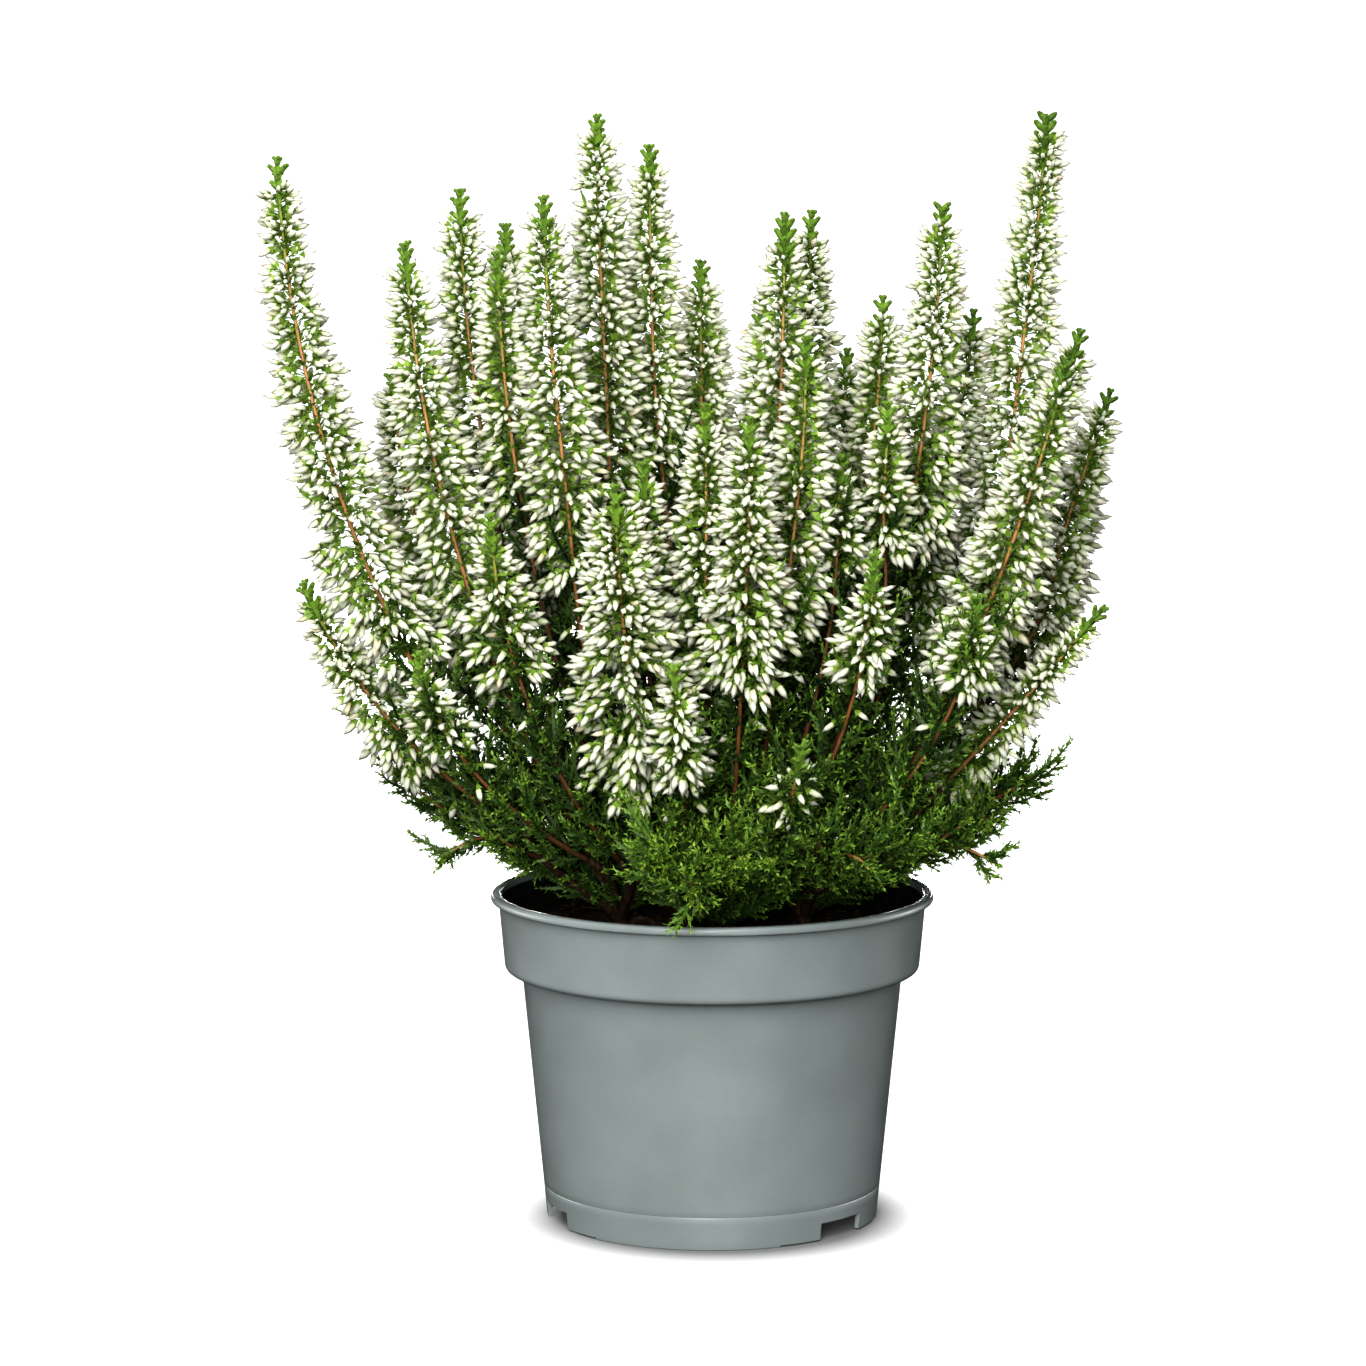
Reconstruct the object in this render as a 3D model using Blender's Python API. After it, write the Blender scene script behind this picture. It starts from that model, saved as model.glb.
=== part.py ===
"""A potted heather: a flared plastic nursery pot, its peat, five woody rootstocks, and on their branches
the flower spikes and the green leafy sprays. +Z is up, the origin is on the pot's axis where it stands."""

import math
import random

import bmesh
import bpy
import numpy as np

MM = 0.001
FIT_GAP = 0.3
SEED = 20

# Pot, in millimetres
POT_HEIGHT = 89.0
RIM_RADIUS = 60.0
LIP_THICKNESS = 2.2
COLLAR_TOP_RADIUS = 57.9
COLLAR_FOOT_RADIUS = 56.2
COLLAR_FOOT_Z = 69.5
SHOULDER_Z = 67.2
BODY_TOP_RADIUS = 51.6
BASE_RADIUS = 45.0
WALL = 1.2
FLOOR_UNDER_Z = 5.4
FLOOR_THICKNESS = 1.4
POT_SIDES = 36
NOTCH_CENTRES = (-40.0, 80.0, 200.0)
NOTCH_ANGLE = 21.0
DRAIN_RADIUS = 3.6
DRAIN_RING = 35.0
DRAIN_COUNT = 6
DRAIN_SIDES = 6
LIP_ROUNDING = (0.9, 0.8)
LIP_DRAFT = 0.2
LIP_FILLET = 0.3
LIP_INNER_EDGE = 0.4
SHOULDER_STEP = (1.0, 1.4)
INNER_STEP = 1.0
NOTCH_ROOF = 0.4
CUT_ACROSS = 8.0
CUT_PAST = 2.0

# Peat and the holes that the rootstocks stand in
SOIL_TOP = 79.5
SOIL_LUMP = 1.4
SOIL_LUMP_REACH = 52.0
SOIL_SIDES = 20
SOIL_MOUND = ((0.0, 1.0), (14.0, 1.0), (28.0, 0.5), (42.0, 0.0))
SOIL_EDGE_DROP = 1.0
SOIL_SLACK = 0.2
ROOTS = {
    "rootstock_centre": (0.0, 3.0),
    "rootstock_left": (-25.0, -3.0),
    "rootstock_right": (25.0, -1.0),
    "rootstock_front": (1.0, -25.0),
    "rootstock_back": (-2.0, 28.0),
}
ROOT_FOOT_Z = 56.0
ROOT_HOLE_SIDES = 8
TRUNK_RADIUS = 2.4
TRUNK_HEAD_RADII = (2.1, 1.7)
TRUNK_SIDES = 6
BRANCH_RADII = (1.4, 1.2, 1.0)
BRANCH_SIDES = 3
FORK_Z = 83.0
TRUNK_TAPER = 6.0
TRUNK_HEAD = 2.0
BRANCH_SUNK = 1.5
BUTT_GAP = 0.5

# How the stems run: their feet sit at this share of the tip's distance from the axis
FOOT_SHARE = 0.43
FOOT_Z = 100.0
FOOT_SPREAD = 5.0
STEM_POINTS = 15
CLEAR = 0.7
BEND_ROUNDS = 400

# Flower spikes: tip x, y, z, the height where the buds begin, the widest radius, and how far it bows out
SPIKES = (
    (-111, -56, 286, 158, 11.0, 1.00),
    (-107, -36, 176, 129, 9.5, 0.60),
    (-80, -34, 264, 161, 11.0, 0.90),
    (-88, 34, 228, 150, 10.5, 1.00),
    (-68, 10, 277, 170, 11.0, 1.00),
    (-57, -12, 261, 175, 10.0, 1.00),
    (-57, 48, 267, 160, 11.0, 1.00),
    (-44, -38, 276, 158, 11.0, 0.90),
    (-31, 6, 297, 168, 11.0, 1.00),
    (-26, 38, 267, 165, 10.5, 1.00),
    (-17, 20, 289, 175, 10.0, 1.00),
    (-3, 46, 257, 165, 10.5, 1.00),
    (0, 72, 244, 150, 10.5, 1.00),
    (14, 62, 247, 160, 10.0, 1.00),
    (19, -14, 271, 165, 11.0, 1.00),
    (27, 26, 271, 165, 10.5, 1.00),
    (24, -44, 240, 165, 10.5, 1.00),
    (38, 60, 232, 155, 10.0, 1.00),
    (47, 34, 248, 165, 10.5, 1.00),
    (47, 84, 232, 145, 10.0, 1.00),
    (61, -4, 274, 165, 11.5, 1.00),
    (72, 34, 244, 160, 10.5, 1.00),
    (92, 40, 298, 165, 11.0, 0.90),
    (99, 6, 240, 150, 11.0, 0.35),
    (92, -36, 234, 145, 11.0, 0.45),
    (110, 38, 222, 150, 10.0, 0.50),
    (-2, -48, 223, 158, 10.5, 1.00),
    (9, -70, 221, 146, 10.5, 1.00),
    (-18, -42, 208, 160, 9.5, 1.00),
    (33, -34, 209, 160, 9.5, 1.00),
    (46, -24, 222, 165, 9.5, 1.00),
    (41, -64, 186, 148, 9.0, 1.00),
    (68, -56, 174, 145, 8.5, 1.00),
    (103, -22, 168, 122, 8.0, 0.10),
    (22, -84, 140, 124, 6.5, 0.80),
    (-25, -74, 204, 131, 11.5, 1.00),
    (-10, -88, 160, 128, 8.0, 0.90),
    (-57, -62, 196, 145, 10.5, 1.00),
    (-76, -60, 160, 138, 8.0, 0.90),
    (-80, 68, 214, 140, 10.5, 1.00),
    (-44, 84, 208, 140, 10.5, 1.00),
    (-10, 89, 198, 132, 10.5, 1.00),
    (24, 89, 202, 135, 10.0, 1.00),
    (62, 80, 210, 140, 10.5, 1.00),
    (108, 62, 206, 138, 10.5, 0.90),
)

# Green sprays: tip x, y, z, the widest radius, and how far the spray bows out
SPRAYS = (
    (-6, -76, 98, 6.5, 0.4),
    (-72, -14, 100, 6.5, 0.5),
    (75, -34, 101, 6.5, 0.5),
    (40, -74, 106, 6.5, 0.7),
    (-86, 18, 118, 6.5, 0.8),
    (88, 8, 116, 6.5, 0.8),
    (-44, 72, 110, 6.5, 0.8),
    (44, 72, 110, 6.5, 0.8),
)
TWIGS = ((0.20, 0.62, 24.0, 9.0), (0.28, 0.60, -24.0, 12.0))

TWIG_REACH = 0.85
SPRAY_FOOT_REACH = 62.0
SPRAY_FOOT_SHARE = 0.52
SPRAY_FOOT_DROP = 8.0
SPRAY_ARCH = 9.0

# How far leaves and buds stand out from a stem
LEAFY_REACH = (3.5, 6.5)
LEAFY_RISE = 35.0
BLOOM_TOP_REACH = 5.6
TIP_REACH = 3.6
SPRAY_END_REACH = 1.8

# Modelling of the stems
CORE_SIDES = 3
CORE_SHARE = 0.38
BUD_PITCH = 10.0
LEAF_PITCH = 12.0
SPRAY_PITCH = 10.5
STEM_RADIUS = 1.0
STEM_SWELL = 0.5
LEAF_LEAN = 5.0
SPRAY_LEAN = 5.5
TIP_LENGTH = 8.0
TIP_RADIUS = 2.2
TIP_FOOT_RADIUS = 1.3
TIP_END_RADIUS = 1.4


def material(name, colour, roughness, metallic=0.0):
    """A plain Principled material in the given linear colour."""
    made = bpy.data.materials.new(name)
    made.use_nodes = True
    made.diffuse_color = (*colour, 1.0)
    shader = made.node_tree.nodes["Principled BSDF"]
    shader.inputs["Base Color"].default_value = (*colour, 1.0)
    shader.inputs["Roughness"].default_value = roughness
    shader.inputs["Metallic"].default_value = metallic
    return made


def add_object(name, mesh, materials):
    made = bpy.data.objects.new(name, mesh)
    bpy.context.scene.collection.objects.link(made)
    for each in materials:
        mesh.materials.append(each)
    return made


def mesh_from(name, points, faces, kinds=None):
    """A mesh from points in millimetres; kinds holds each face's material index."""
    mesh = bpy.data.meshes.new(name)
    mesh.from_pydata([tuple(MM * value for value in point) for point in points], [], faces)
    if kinds:
        mesh.polygons.foreach_set("material_index", kinds)
    mesh.update()
    return mesh


def turned(name, profile, sides, lift=None):
    """A solid of revolution whose profile runs down the outside and back up; radius 0 closes it."""
    points = []
    rings = []
    for radius, z in profile:
        if radius == 0:
            rings.append([len(points)])
            points.append((0.0, 0.0, z))
            continue
        rings.append(list(range(len(points), len(points) + sides)))
        for side in range(sides):
            angle = 2 * math.pi * side / sides
            point = (radius * math.cos(angle), radius * math.sin(angle), z)
            points.append(lift(point) if lift else point)
    faces = []
    for upper, lower in zip(rings, rings[1:] + rings[:1]):
        for side in range(sides):
            after = (side + 1) % sides
            if len(upper) == 1 and len(lower) == 1:
                break
            if len(upper) == 1:
                faces.append((upper[0], lower[side], lower[after]))
            elif len(lower) == 1:
                faces.append((upper[side], lower[0], upper[after]))
            else:
                faces.append((upper[side], lower[side], lower[after], upper[after]))
    return mesh_from(name, points, faces)


def apply_modifiers(made):
    """Leaves the object with the mesh that its modifiers give."""
    graph = bpy.context.evaluated_depsgraph_get()
    mesh = bpy.data.meshes.new_from_object(made.evaluated_get(graph))
    made.modifiers.clear()
    made.data = mesh


def cut(made, name, mesh):
    """Cuts the mesh from the object with a Boolean, through a hidden cutter."""
    cutter = add_object(name, mesh, [])
    cutter.hide_render = True
    cutter.display_type = "WIRE"
    boolean = made.modifiers.new(name, "BOOLEAN")
    boolean.operation = "DIFFERENCE"
    boolean.object = cutter


def keep_largest_body(mesh):
    """Drops every loose scrap and every sealed hollow, and leaves the largest closed body."""
    shape = bmesh.new()
    shape.from_mesh(mesh)
    left = set(shape.faces)
    bodies = []
    while left:
        body = [left.pop()]
        for face in body:
            for edge in face.edges:
                for neighbour in edge.link_faces:
                    if neighbour in left:
                        left.remove(neighbour)
                        body.append(neighbour)
        bodies.append(body)
    bodies.sort(key=len)
    scraps = [face for body in bodies[:-1] for face in body]
    bmesh.ops.delete(shape, geom=scraps, context="FACES")
    shape.to_mesh(mesh)
    shape.free()


def unite(made, meshes):
    """Fuses the meshes into the object with one Boolean union, which is applied."""
    others = bpy.data.collections.new(made.name + "_pieces")
    bpy.context.scene.collection.children.link(others)
    for mesh in meshes:
        others.objects.link(bpy.data.objects.new(mesh.name, mesh))
    union = made.modifiers.new("union", "BOOLEAN")
    union.operation = "UNION"
    union.operand_type = "COLLECTION"
    union.collection = others
    union.solver = "MANIFOLD"
    apply_modifiers(made)
    keep_largest_body(made.data)
    for other in list(others.objects):
        bpy.data.objects.remove(other)
    bpy.data.collections.remove(others)


def wedge(inner, outer, bottom, top, centre, width):
    """Points and faces of a flat-topped wedge round the axis, its angles in degrees."""
    points = []
    for z in (bottom, top):
        for radius, turn in ((inner, -0.5), (outer, -0.5), (outer, 0.5), (inner, 0.5)):
            angle = math.radians(centre + turn * width)
            points.append((radius * math.cos(angle), radius * math.sin(angle), z))
    faces = [(0, 3, 2, 1), (4, 5, 6, 7), (0, 1, 5, 4), (1, 2, 6, 5), (2, 3, 7, 6), (3, 0, 4, 7)]
    return points, faces


def prism(x, y, radius, bottom, top, sides):
    """Points and faces of an upright prism."""
    points = []
    for z in (bottom, top):
        for side in range(sides):
            angle = 2 * math.pi * side / sides
            points.append((x + radius * math.cos(angle), y + radius * math.sin(angle), z))
    faces = [tuple(reversed(range(sides))), tuple(range(sides, 2 * sides))]
    for side in range(sides):
        after = (side + 1) % sides
        faces.append((side, after, sides + after, sides + side))
    return points, faces


def joined(shapes):
    """One list of points and faces from several that stay apart."""
    points = []
    faces = []
    for more_points, more_faces in shapes:
        start = len(points)
        points += more_points
        faces += [tuple(start + corner for corner in face) for face in more_faces]
    return points, faces


def body_radius(z):
    """Outer radius of the pot's straight body at a height."""
    return BASE_RADIUS + (BODY_TOP_RADIUS - BASE_RADIUS) * z / SHOULDER_Z


def make_pot():
    floor_top = FLOOR_UNDER_Z + FLOOR_THICKNESS
    lip_under = POT_HEIGHT - LIP_THICKNESS
    profile = (
        (RIM_RADIUS - LIP_ROUNDING[0], POT_HEIGHT),
        (RIM_RADIUS, POT_HEIGHT - LIP_ROUNDING[1]),
        (RIM_RADIUS - LIP_DRAFT, lip_under),
        (COLLAR_TOP_RADIUS, lip_under - LIP_FILLET),
        (COLLAR_FOOT_RADIUS, COLLAR_FOOT_Z),
        (COLLAR_FOOT_RADIUS - SHOULDER_STEP[0], COLLAR_FOOT_Z - SHOULDER_STEP[1]),
        (BODY_TOP_RADIUS, SHOULDER_Z),
        (BASE_RADIUS, 0.0),
        (BASE_RADIUS - WALL, 0.0),
        (body_radius(FLOOR_UNDER_Z) - WALL, FLOOR_UNDER_Z),
        (0.0, FLOOR_UNDER_Z),
        (0.0, floor_top),
        (body_radius(floor_top) - WALL, floor_top),
        (BODY_TOP_RADIUS - WALL, SHOULDER_Z + INNER_STEP),
        (COLLAR_FOOT_RADIUS - WALL, COLLAR_FOOT_Z + INNER_STEP),
        (COLLAR_TOP_RADIUS - WALL, lip_under),
        (COLLAR_TOP_RADIUS - LIP_INNER_EDGE, POT_HEIGHT),
    )
    pot = add_object("pot", turned("pot", profile, POT_SIDES), [POT_MATERIAL])
    notches = []
    inside = BASE_RADIUS - CUT_ACROSS
    outside = BASE_RADIUS + CUT_ACROSS
    for centre in NOTCH_CENTRES:
        notches.append(wedge(inside, outside, -CUT_PAST, FLOOR_UNDER_Z - NOTCH_ROOF, centre, NOTCH_ANGLE))
    cut(pot, "notch_cutter", mesh_from("notch_cutter", *joined(notches)))
    drain = (DRAIN_RADIUS, FLOOR_UNDER_Z - CUT_PAST, floor_top + CUT_PAST, DRAIN_SIDES)
    drains = [prism(0, 0, *drain)]
    for index in range(DRAIN_COUNT):
        angle = math.radians(NOTCH_CENTRES[0] + 360 * index / DRAIN_COUNT)
        x = DRAIN_RING * math.cos(angle)
        y = DRAIN_RING * math.sin(angle)
        drains.append(prism(x, y, *drain))
    cut(pot, "drain_cutter", mesh_from("drain_cutter", *joined(drains)))
    pot.data.shade_smooth()
    pot.data.set_sharp_from_angle(angle=math.radians(30))
    return pot


def soil_lift(point):
    """Lumps on the peat's top, which fade to nothing at its edge."""
    x, y, z = point
    if z < SOIL_TOP - 3:
        return point
    share = max(0.0, 1 - (math.hypot(x, y) / SOIL_LUMP_REACH) ** 4)
    lump = math.sin(0.31 * x + 1.0) * math.cos(0.27 * y - 0.4) + 0.6 * math.sin(0.55 * (x + y))
    return x, y, z + SOIL_LUMP * share * lump


def make_soil():
    floor_top = FLOOR_UNDER_Z + FLOOR_THICKNESS
    bottom = floor_top + FIT_GAP
    inset = WALL + FIT_GAP + SOIL_SLACK
    profile = (
        *((radius, SOIL_TOP + rise) for radius, rise in SOIL_MOUND),
        (COLLAR_FOOT_RADIUS - inset, SOIL_TOP - SOIL_EDGE_DROP),
        (COLLAR_FOOT_RADIUS - inset - 0.4, COLLAR_FOOT_Z + 2.2),
        (BODY_TOP_RADIUS - inset - SOIL_SLACK, SHOULDER_Z + 1.9),
        (body_radius(bottom) - inset - SOIL_SLACK, bottom),
        (0.0, bottom),
    )
    soil = add_object("soil", turned("soil", profile, SOIL_SIDES, soil_lift), [SOIL_MATERIAL])
    holes = []
    radius = TRUNK_RADIUS + FIT_GAP + SOIL_SLACK
    for x, y in ROOTS.values():
        holes.append(prism(x, y, radius, ROOT_FOOT_Z - FIT_GAP, SOIL_TOP + CUT_ACROSS, ROOT_HOLE_SIDES))
    cut(soil, "root_hole_cutter", mesh_from("root_hole_cutter", *joined(holes)))
    soil.data.shade_smooth()
    soil.data.set_sharp_from_angle(angle=math.radians(50))
    return soil


def bowed(foot, tip, bow, count):
    """Points along a stem that leaves its foot outwards and turns upright towards its tip."""
    foot = np.array(foot, float)
    tip = np.array(tip, float)
    run = tip - foot
    flat = np.array((run[0], run[1], 0.0))
    rise = np.array((0.0, 0.0, run[2]))
    first = foot + flat * (0.33 + 0.27 * bow) + rise * (0.33 - 0.06 * bow)
    second = foot + flat * (0.67 + 0.30 * bow) + rise * (0.67 - 0.02 * bow)
    t = np.linspace(0.0, 1.0, count)[:, None]
    return (1 - t) ** 3 * foot + 3 * (1 - t) ** 2 * t * first + 3 * (1 - t) * t**2 * second + t**3 * tip


def spike_reach(path, bloom_z, widest):
    """How far the leaves and buds stand out from the axis at each point of a flower spike."""
    z = path[:, 2]
    top = z[-1]
    leafy = LEAFY_REACH[0] + (LEAFY_REACH[1] - LEAFY_REACH[0]) * np.clip((z - z[0]) / LEAFY_RISE, 0, 1)
    share = np.clip((z - bloom_z) / (top - bloom_z), 0, 1)
    bloom = widest + (BLOOM_TOP_REACH - widest) * share**0.8
    reach = np.where(z < bloom_z, np.minimum(leafy, widest), bloom)
    return np.where(z > top - TIP_LENGTH, TIP_REACH, reach)


def spray_reach(path, widest):
    """How far the leafy twigs of a green spray stand out from its axis."""
    share = np.linspace(0, 1, len(path))
    return SPRAY_END_REACH + (widest - SPRAY_END_REACH) * np.sin(math.pi * np.clip(0.9 * share, 0, 1)) ** 0.7


def stem_layout():
    """Every spike and spray as its name, its points and its reach, each stem bent clear of the others."""
    draw = random.Random(SEED)
    names = []
    paths = []
    reaches = []
    for index, (x, y, z, bloom_z, widest, bow) in enumerate(SPIKES):
        foot = (FOOT_SHARE * x, FOOT_SHARE * y, FOOT_Z + FOOT_SPREAD * draw.random())
        path = bowed(foot, (x, y, z), bow, STEM_POINTS)
        names.append(f"spike_{index + 1:02d}")
        paths.append(path)
        reaches.append(spike_reach(path, bloom_z, widest))
    for index, (x, y, z, widest, bow) in enumerate(SPRAYS):
        out = SPRAY_FOOT_SHARE * min(1.0, SPRAY_FOOT_REACH / math.hypot(x, y))
        foot = (out * x, out * y, FOOT_Z - SPRAY_FOOT_DROP)
        path = bowed(foot, (x, y, z), bow, STEM_POINTS)
        path[:, 2] += SPRAY_ARCH * np.sin(math.pi * np.linspace(0, 1, STEM_POINTS))
        names.append(f"spray_{index + 1:02d}")
        paths.append(path)
        reaches.append(spray_reach(path, widest))
    return names, bend_clear(np.array(paths), np.array(reaches)), np.array(reaches)


def bend_clear(paths, reaches):
    """Pushes crossing stems apart sideways. Each bend is smooth along its stem; a tip moves little in X."""
    count, points, _ = paths.shape
    along = np.arange(points)
    smooth = np.exp(-(((along[:, None] - along[None, :]) / 2.2) ** 2))
    smooth /= smooth.sum(axis=1, keepdims=True)
    owner = np.repeat(np.arange(count), points)
    apart = owner[:, None] != owner[None, :]
    reach = reaches.reshape(-1)
    touching = (reach[:, None] + reach[None, :] + CLEAR) ** 2
    foot_hold = np.clip(0.35 + along / 4.0, 0, 1)[None, :, None]
    tip_hold = np.ones((1, points, 3))
    tip_hold[0, :, 0] = np.clip(1.0 - 0.75 * (along / (points - 1.0)) ** 2, 0, 1)
    tip_hold[0, :, 2] = 0.0
    for _ in range(BEND_ROUNDS):
        flat = paths.reshape(-1, 3)
        squares = (flat**2).sum(axis=1)
        spans = squares[:, None] + squares[None, :] - 2 * flat @ flat.T
        here, there = np.nonzero(apart & (spans < touching))
        offset = flat[here] - flat[there]
        need = reach[here] + reach[there] + CLEAR - np.linalg.norm(offset, axis=1)
        if need.max(initial=0.0) < 0.05:
            break
        offset[:, 2] = 0.0
        offset /= np.linalg.norm(offset, axis=1, keepdims=True) + 1e-6
        push = np.zeros_like(flat)
        np.add.at(push, here, np.clip(need, 0.0, None)[:, None] * offset / 3.0)
        push = np.clip(push, -2.0, 2.0).reshape(paths.shape)
        paths = paths + 0.5 * np.einsum("ab,nbc->nac", smooth, push) * foot_hold * tip_hold
    return paths


def at_lengths(path, values, lengths):
    """Points and values of a polyline at the given lengths along it."""
    steps = np.linalg.norm(np.diff(path, axis=0), axis=1)
    run = np.concatenate([[0.0], np.cumsum(steps)])
    points = np.stack([np.interp(lengths, run, path[:, axis]) for axis in range(3)], axis=1)
    return points, np.interp(lengths, run, values)


def path_length(path):
    return float(np.linalg.norm(np.diff(path, axis=0), axis=1).sum())


def cross_frames(points):
    """Two unit directions across the stem at each point, carried along it without twist."""
    tangents = np.gradient(points, axis=0)
    tangents /= np.linalg.norm(tangents, axis=1, keepdims=True)
    first = np.cross(tangents[0], (0.3, 1.0, 0.1))
    firsts = []
    for tangent in tangents:
        first = first - tangent * (first @ tangent)
        first = first / np.linalg.norm(first)
        firsts.append(first)
    firsts = np.array(firsts)
    return tangents, firsts, np.cross(tangents, firsts)


def grown_tube(points, radii, pokes, leans, kinds, draw):
    """A closed tube whose rings are turned half a step each, with a pointed shoot raised on each face.

    pokes, leans and kinds hold, for each stretch between two rings, how far its shoots stand out, how far
    they lean along the stem, and their material."""
    tangents, firsts, seconds = cross_frames(points)
    sides = CORE_SIDES
    made = []
    for index, (centre, radius) in enumerate(zip(points, radii)):
        for side in range(sides):
            angle = 2 * math.pi * (side + 0.5 * index) / sides
            across = math.cos(angle) * firsts[index] + math.sin(angle) * seconds[index]
            made.append(centre + radius * across)
    faces = [tuple(reversed(range(sides)))]
    face_kinds = [kinds[0]]
    for index in range(len(points) - 1):
        low = index * sides
        high = low + sides
        centre = 0.5 * (points[index] + points[index + 1])
        for side in range(sides):
            after = (side + 1) % sides
            for face in ((low + side, low + after, high + side), (low + after, high + after, high + side)):
                if pokes[index] <= 0:
                    faces.append(face)
                    face_kinds.append(kinds[index])
                    continue
                middle = sum(made[corner] for corner in face) / 3
                normal = np.cross(made[face[1]] - made[face[0]], made[face[2]] - made[face[0]])
                normal /= np.linalg.norm(normal)
                scale = 0.84 + 0.3 * draw.random()
                apex = middle + pokes[index] * scale * normal + leans[index] * scale * tangents[index]
                made.append(apex)
                for start in range(3):
                    faces.append((face[start], face[(start + 1) % 3], len(made) - 1))
                    face_kinds.append(kinds[index])
    top = (len(points) - 1) * sides
    made.append(points[-1] + tangents[-1] * radii[-1])
    for side in range(sides):
        faces.append((top + side, top + (side + 1) % sides, len(made) - 1))
        face_kinds.append(kinds[-1])
    return made, faces, face_kinds


LEAF, BUD, SHOOT_TIP = 0, 1, 2


def make_spike(name, path, reach, bloom_z, draw):
    """A leafy stem, its flower buds round a slim core, and the green shoot at its tip."""
    length = path_length(path)
    heights = at_lengths(path, path[:, 2], np.linspace(0, length, 60))[1]
    bloom_start = length * float(np.searchsorted(heights, bloom_z)) / 60
    bloom_end = length - TIP_LENGTH
    leaf_steps = max(2, round(bloom_start / LEAF_PITCH))
    bud_steps = max(3, round((bloom_end - bloom_start) / BUD_PITCH))
    lengths = np.concatenate([
        np.linspace(0, bloom_start, leaf_steps + 1),
        np.linspace(bloom_start, bloom_end, bud_steps + 1)[1:],
        [length - 0.55 * TIP_LENGTH, length - 0.15 * TIP_LENGTH],
    ])
    points, reaches = at_lengths(path, reach, lengths)
    radii = []
    for index in range(len(lengths)):
        if index <= leaf_steps:
            radii.append(STEM_RADIUS + STEM_SWELL * index / leaf_steps)
        elif index < leaf_steps + bud_steps:
            radii.append(CORE_SHARE * reaches[index])
        else:
            radii.append((TIP_FOOT_RADIUS, TIP_RADIUS, TIP_END_RADIUS)[index - leaf_steps - bud_steps])
    pokes = []
    leans = []
    kinds = []
    for index in range(len(lengths) - 1):
        share = (index - leaf_steps) / bud_steps
        reach_here = 0.5 * (reaches[index] + reaches[index + 1])
        core = 0.5 * (radii[index] + radii[index + 1])
        if index < leaf_steps:
            pokes.append(0.72 * (reach_here - core))
            leans.append(LEAF_LEAN)
            kinds.append(LEAF)
        elif share < 1:
            pokes.append(0.95 * (reach_here - 0.6 * core))
            leans.append(-1.0 + 4.5 * share)
            kinds.append(BUD)
        else:
            pokes.append(1.0)
            leans.append(1.6)
            kinds.append(SHOOT_TIP)
    made, faces, face_kinds = grown_tube(points, radii, pokes, leans, kinds, draw)
    mesh = mesh_from(name, made, faces, face_kinds)
    return add_object(name, mesh, [LEAF_MATERIAL, BUD_MATERIAL, TIP_MATERIAL])


def leafy_twig(path, reach, draw):
    """Points and faces of one slim twig with pointed leafy shoots all round."""
    length = path_length(path)
    steps = max(3, round(length / SPRAY_PITCH))
    points, reaches = at_lengths(path, reach, np.linspace(0, length, steps + 1))
    radii = [STEM_RADIUS + STEM_SWELL * math.sin(math.pi * index / steps) for index in range(steps + 1)]
    pokes = [0.75 * (value - STEM_RADIUS) for value in reaches[:-1]]
    return grown_tube(points, radii, pokes, [SPRAY_LEAN] * steps, [LEAF] * steps, draw)


def side_path(path, start, share, turn, lift):
    """The path of a twig that leaves a spray's axis at a share of its length, turned aside and upwards."""
    first = start * (len(path) - 1)
    origin = np.array([np.interp(first, np.arange(len(path)), path[:, axis]) for axis in range(3)])
    reach = (path[-1] - path[0]) * share
    angle = math.radians(turn)
    end = origin + np.array((
        reach[0] * math.cos(angle) - reach[1] * math.sin(angle),
        reach[0] * math.sin(angle) + reach[1] * math.cos(angle),
        0.4 * reach[2] + lift,
    ))
    return bowed(origin, end, 0.5, len(path))


def make_spray(name, path, reach, draw):
    """A green spray: a slim leafy twig with two side twigs, all one body."""
    points, faces, kinds = leafy_twig(path, reach, draw)
    spray = add_object(name, mesh_from(name, points, faces, kinds), [SPRAY_MATERIAL])
    twigs = []
    for index, (start, share, turn, lift) in enumerate(TWIGS):
        points, faces, kinds = leafy_twig(side_path(path, start, share, turn, lift), TWIG_REACH * reach, draw)
        twigs.append(mesh_from(f"{name}_{index}", points, faces, kinds))
    unite(spray, twigs)
    return spray


def tube(points, radii, sides):
    """Points and faces of a plain closed tube."""
    _, firsts, seconds = cross_frames(np.array(points, float))
    made = []
    for index, (centre, radius) in enumerate(zip(points, radii)):
        for side in range(sides):
            angle = 2 * math.pi * side / sides
            across = math.cos(angle) * firsts[index] + math.sin(angle) * seconds[index]
            made.append(centre + radius * across)
    faces = [tuple(reversed(range(sides))), tuple(range(len(made) - sides, len(made)))]
    for low in range(0, len(made) - sides, sides):
        for side in range(sides):
            after = (side + 1) % sides
            faces.append((low + side, low + after, low + sides + after, low + sides + side))
    return made, faces


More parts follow.
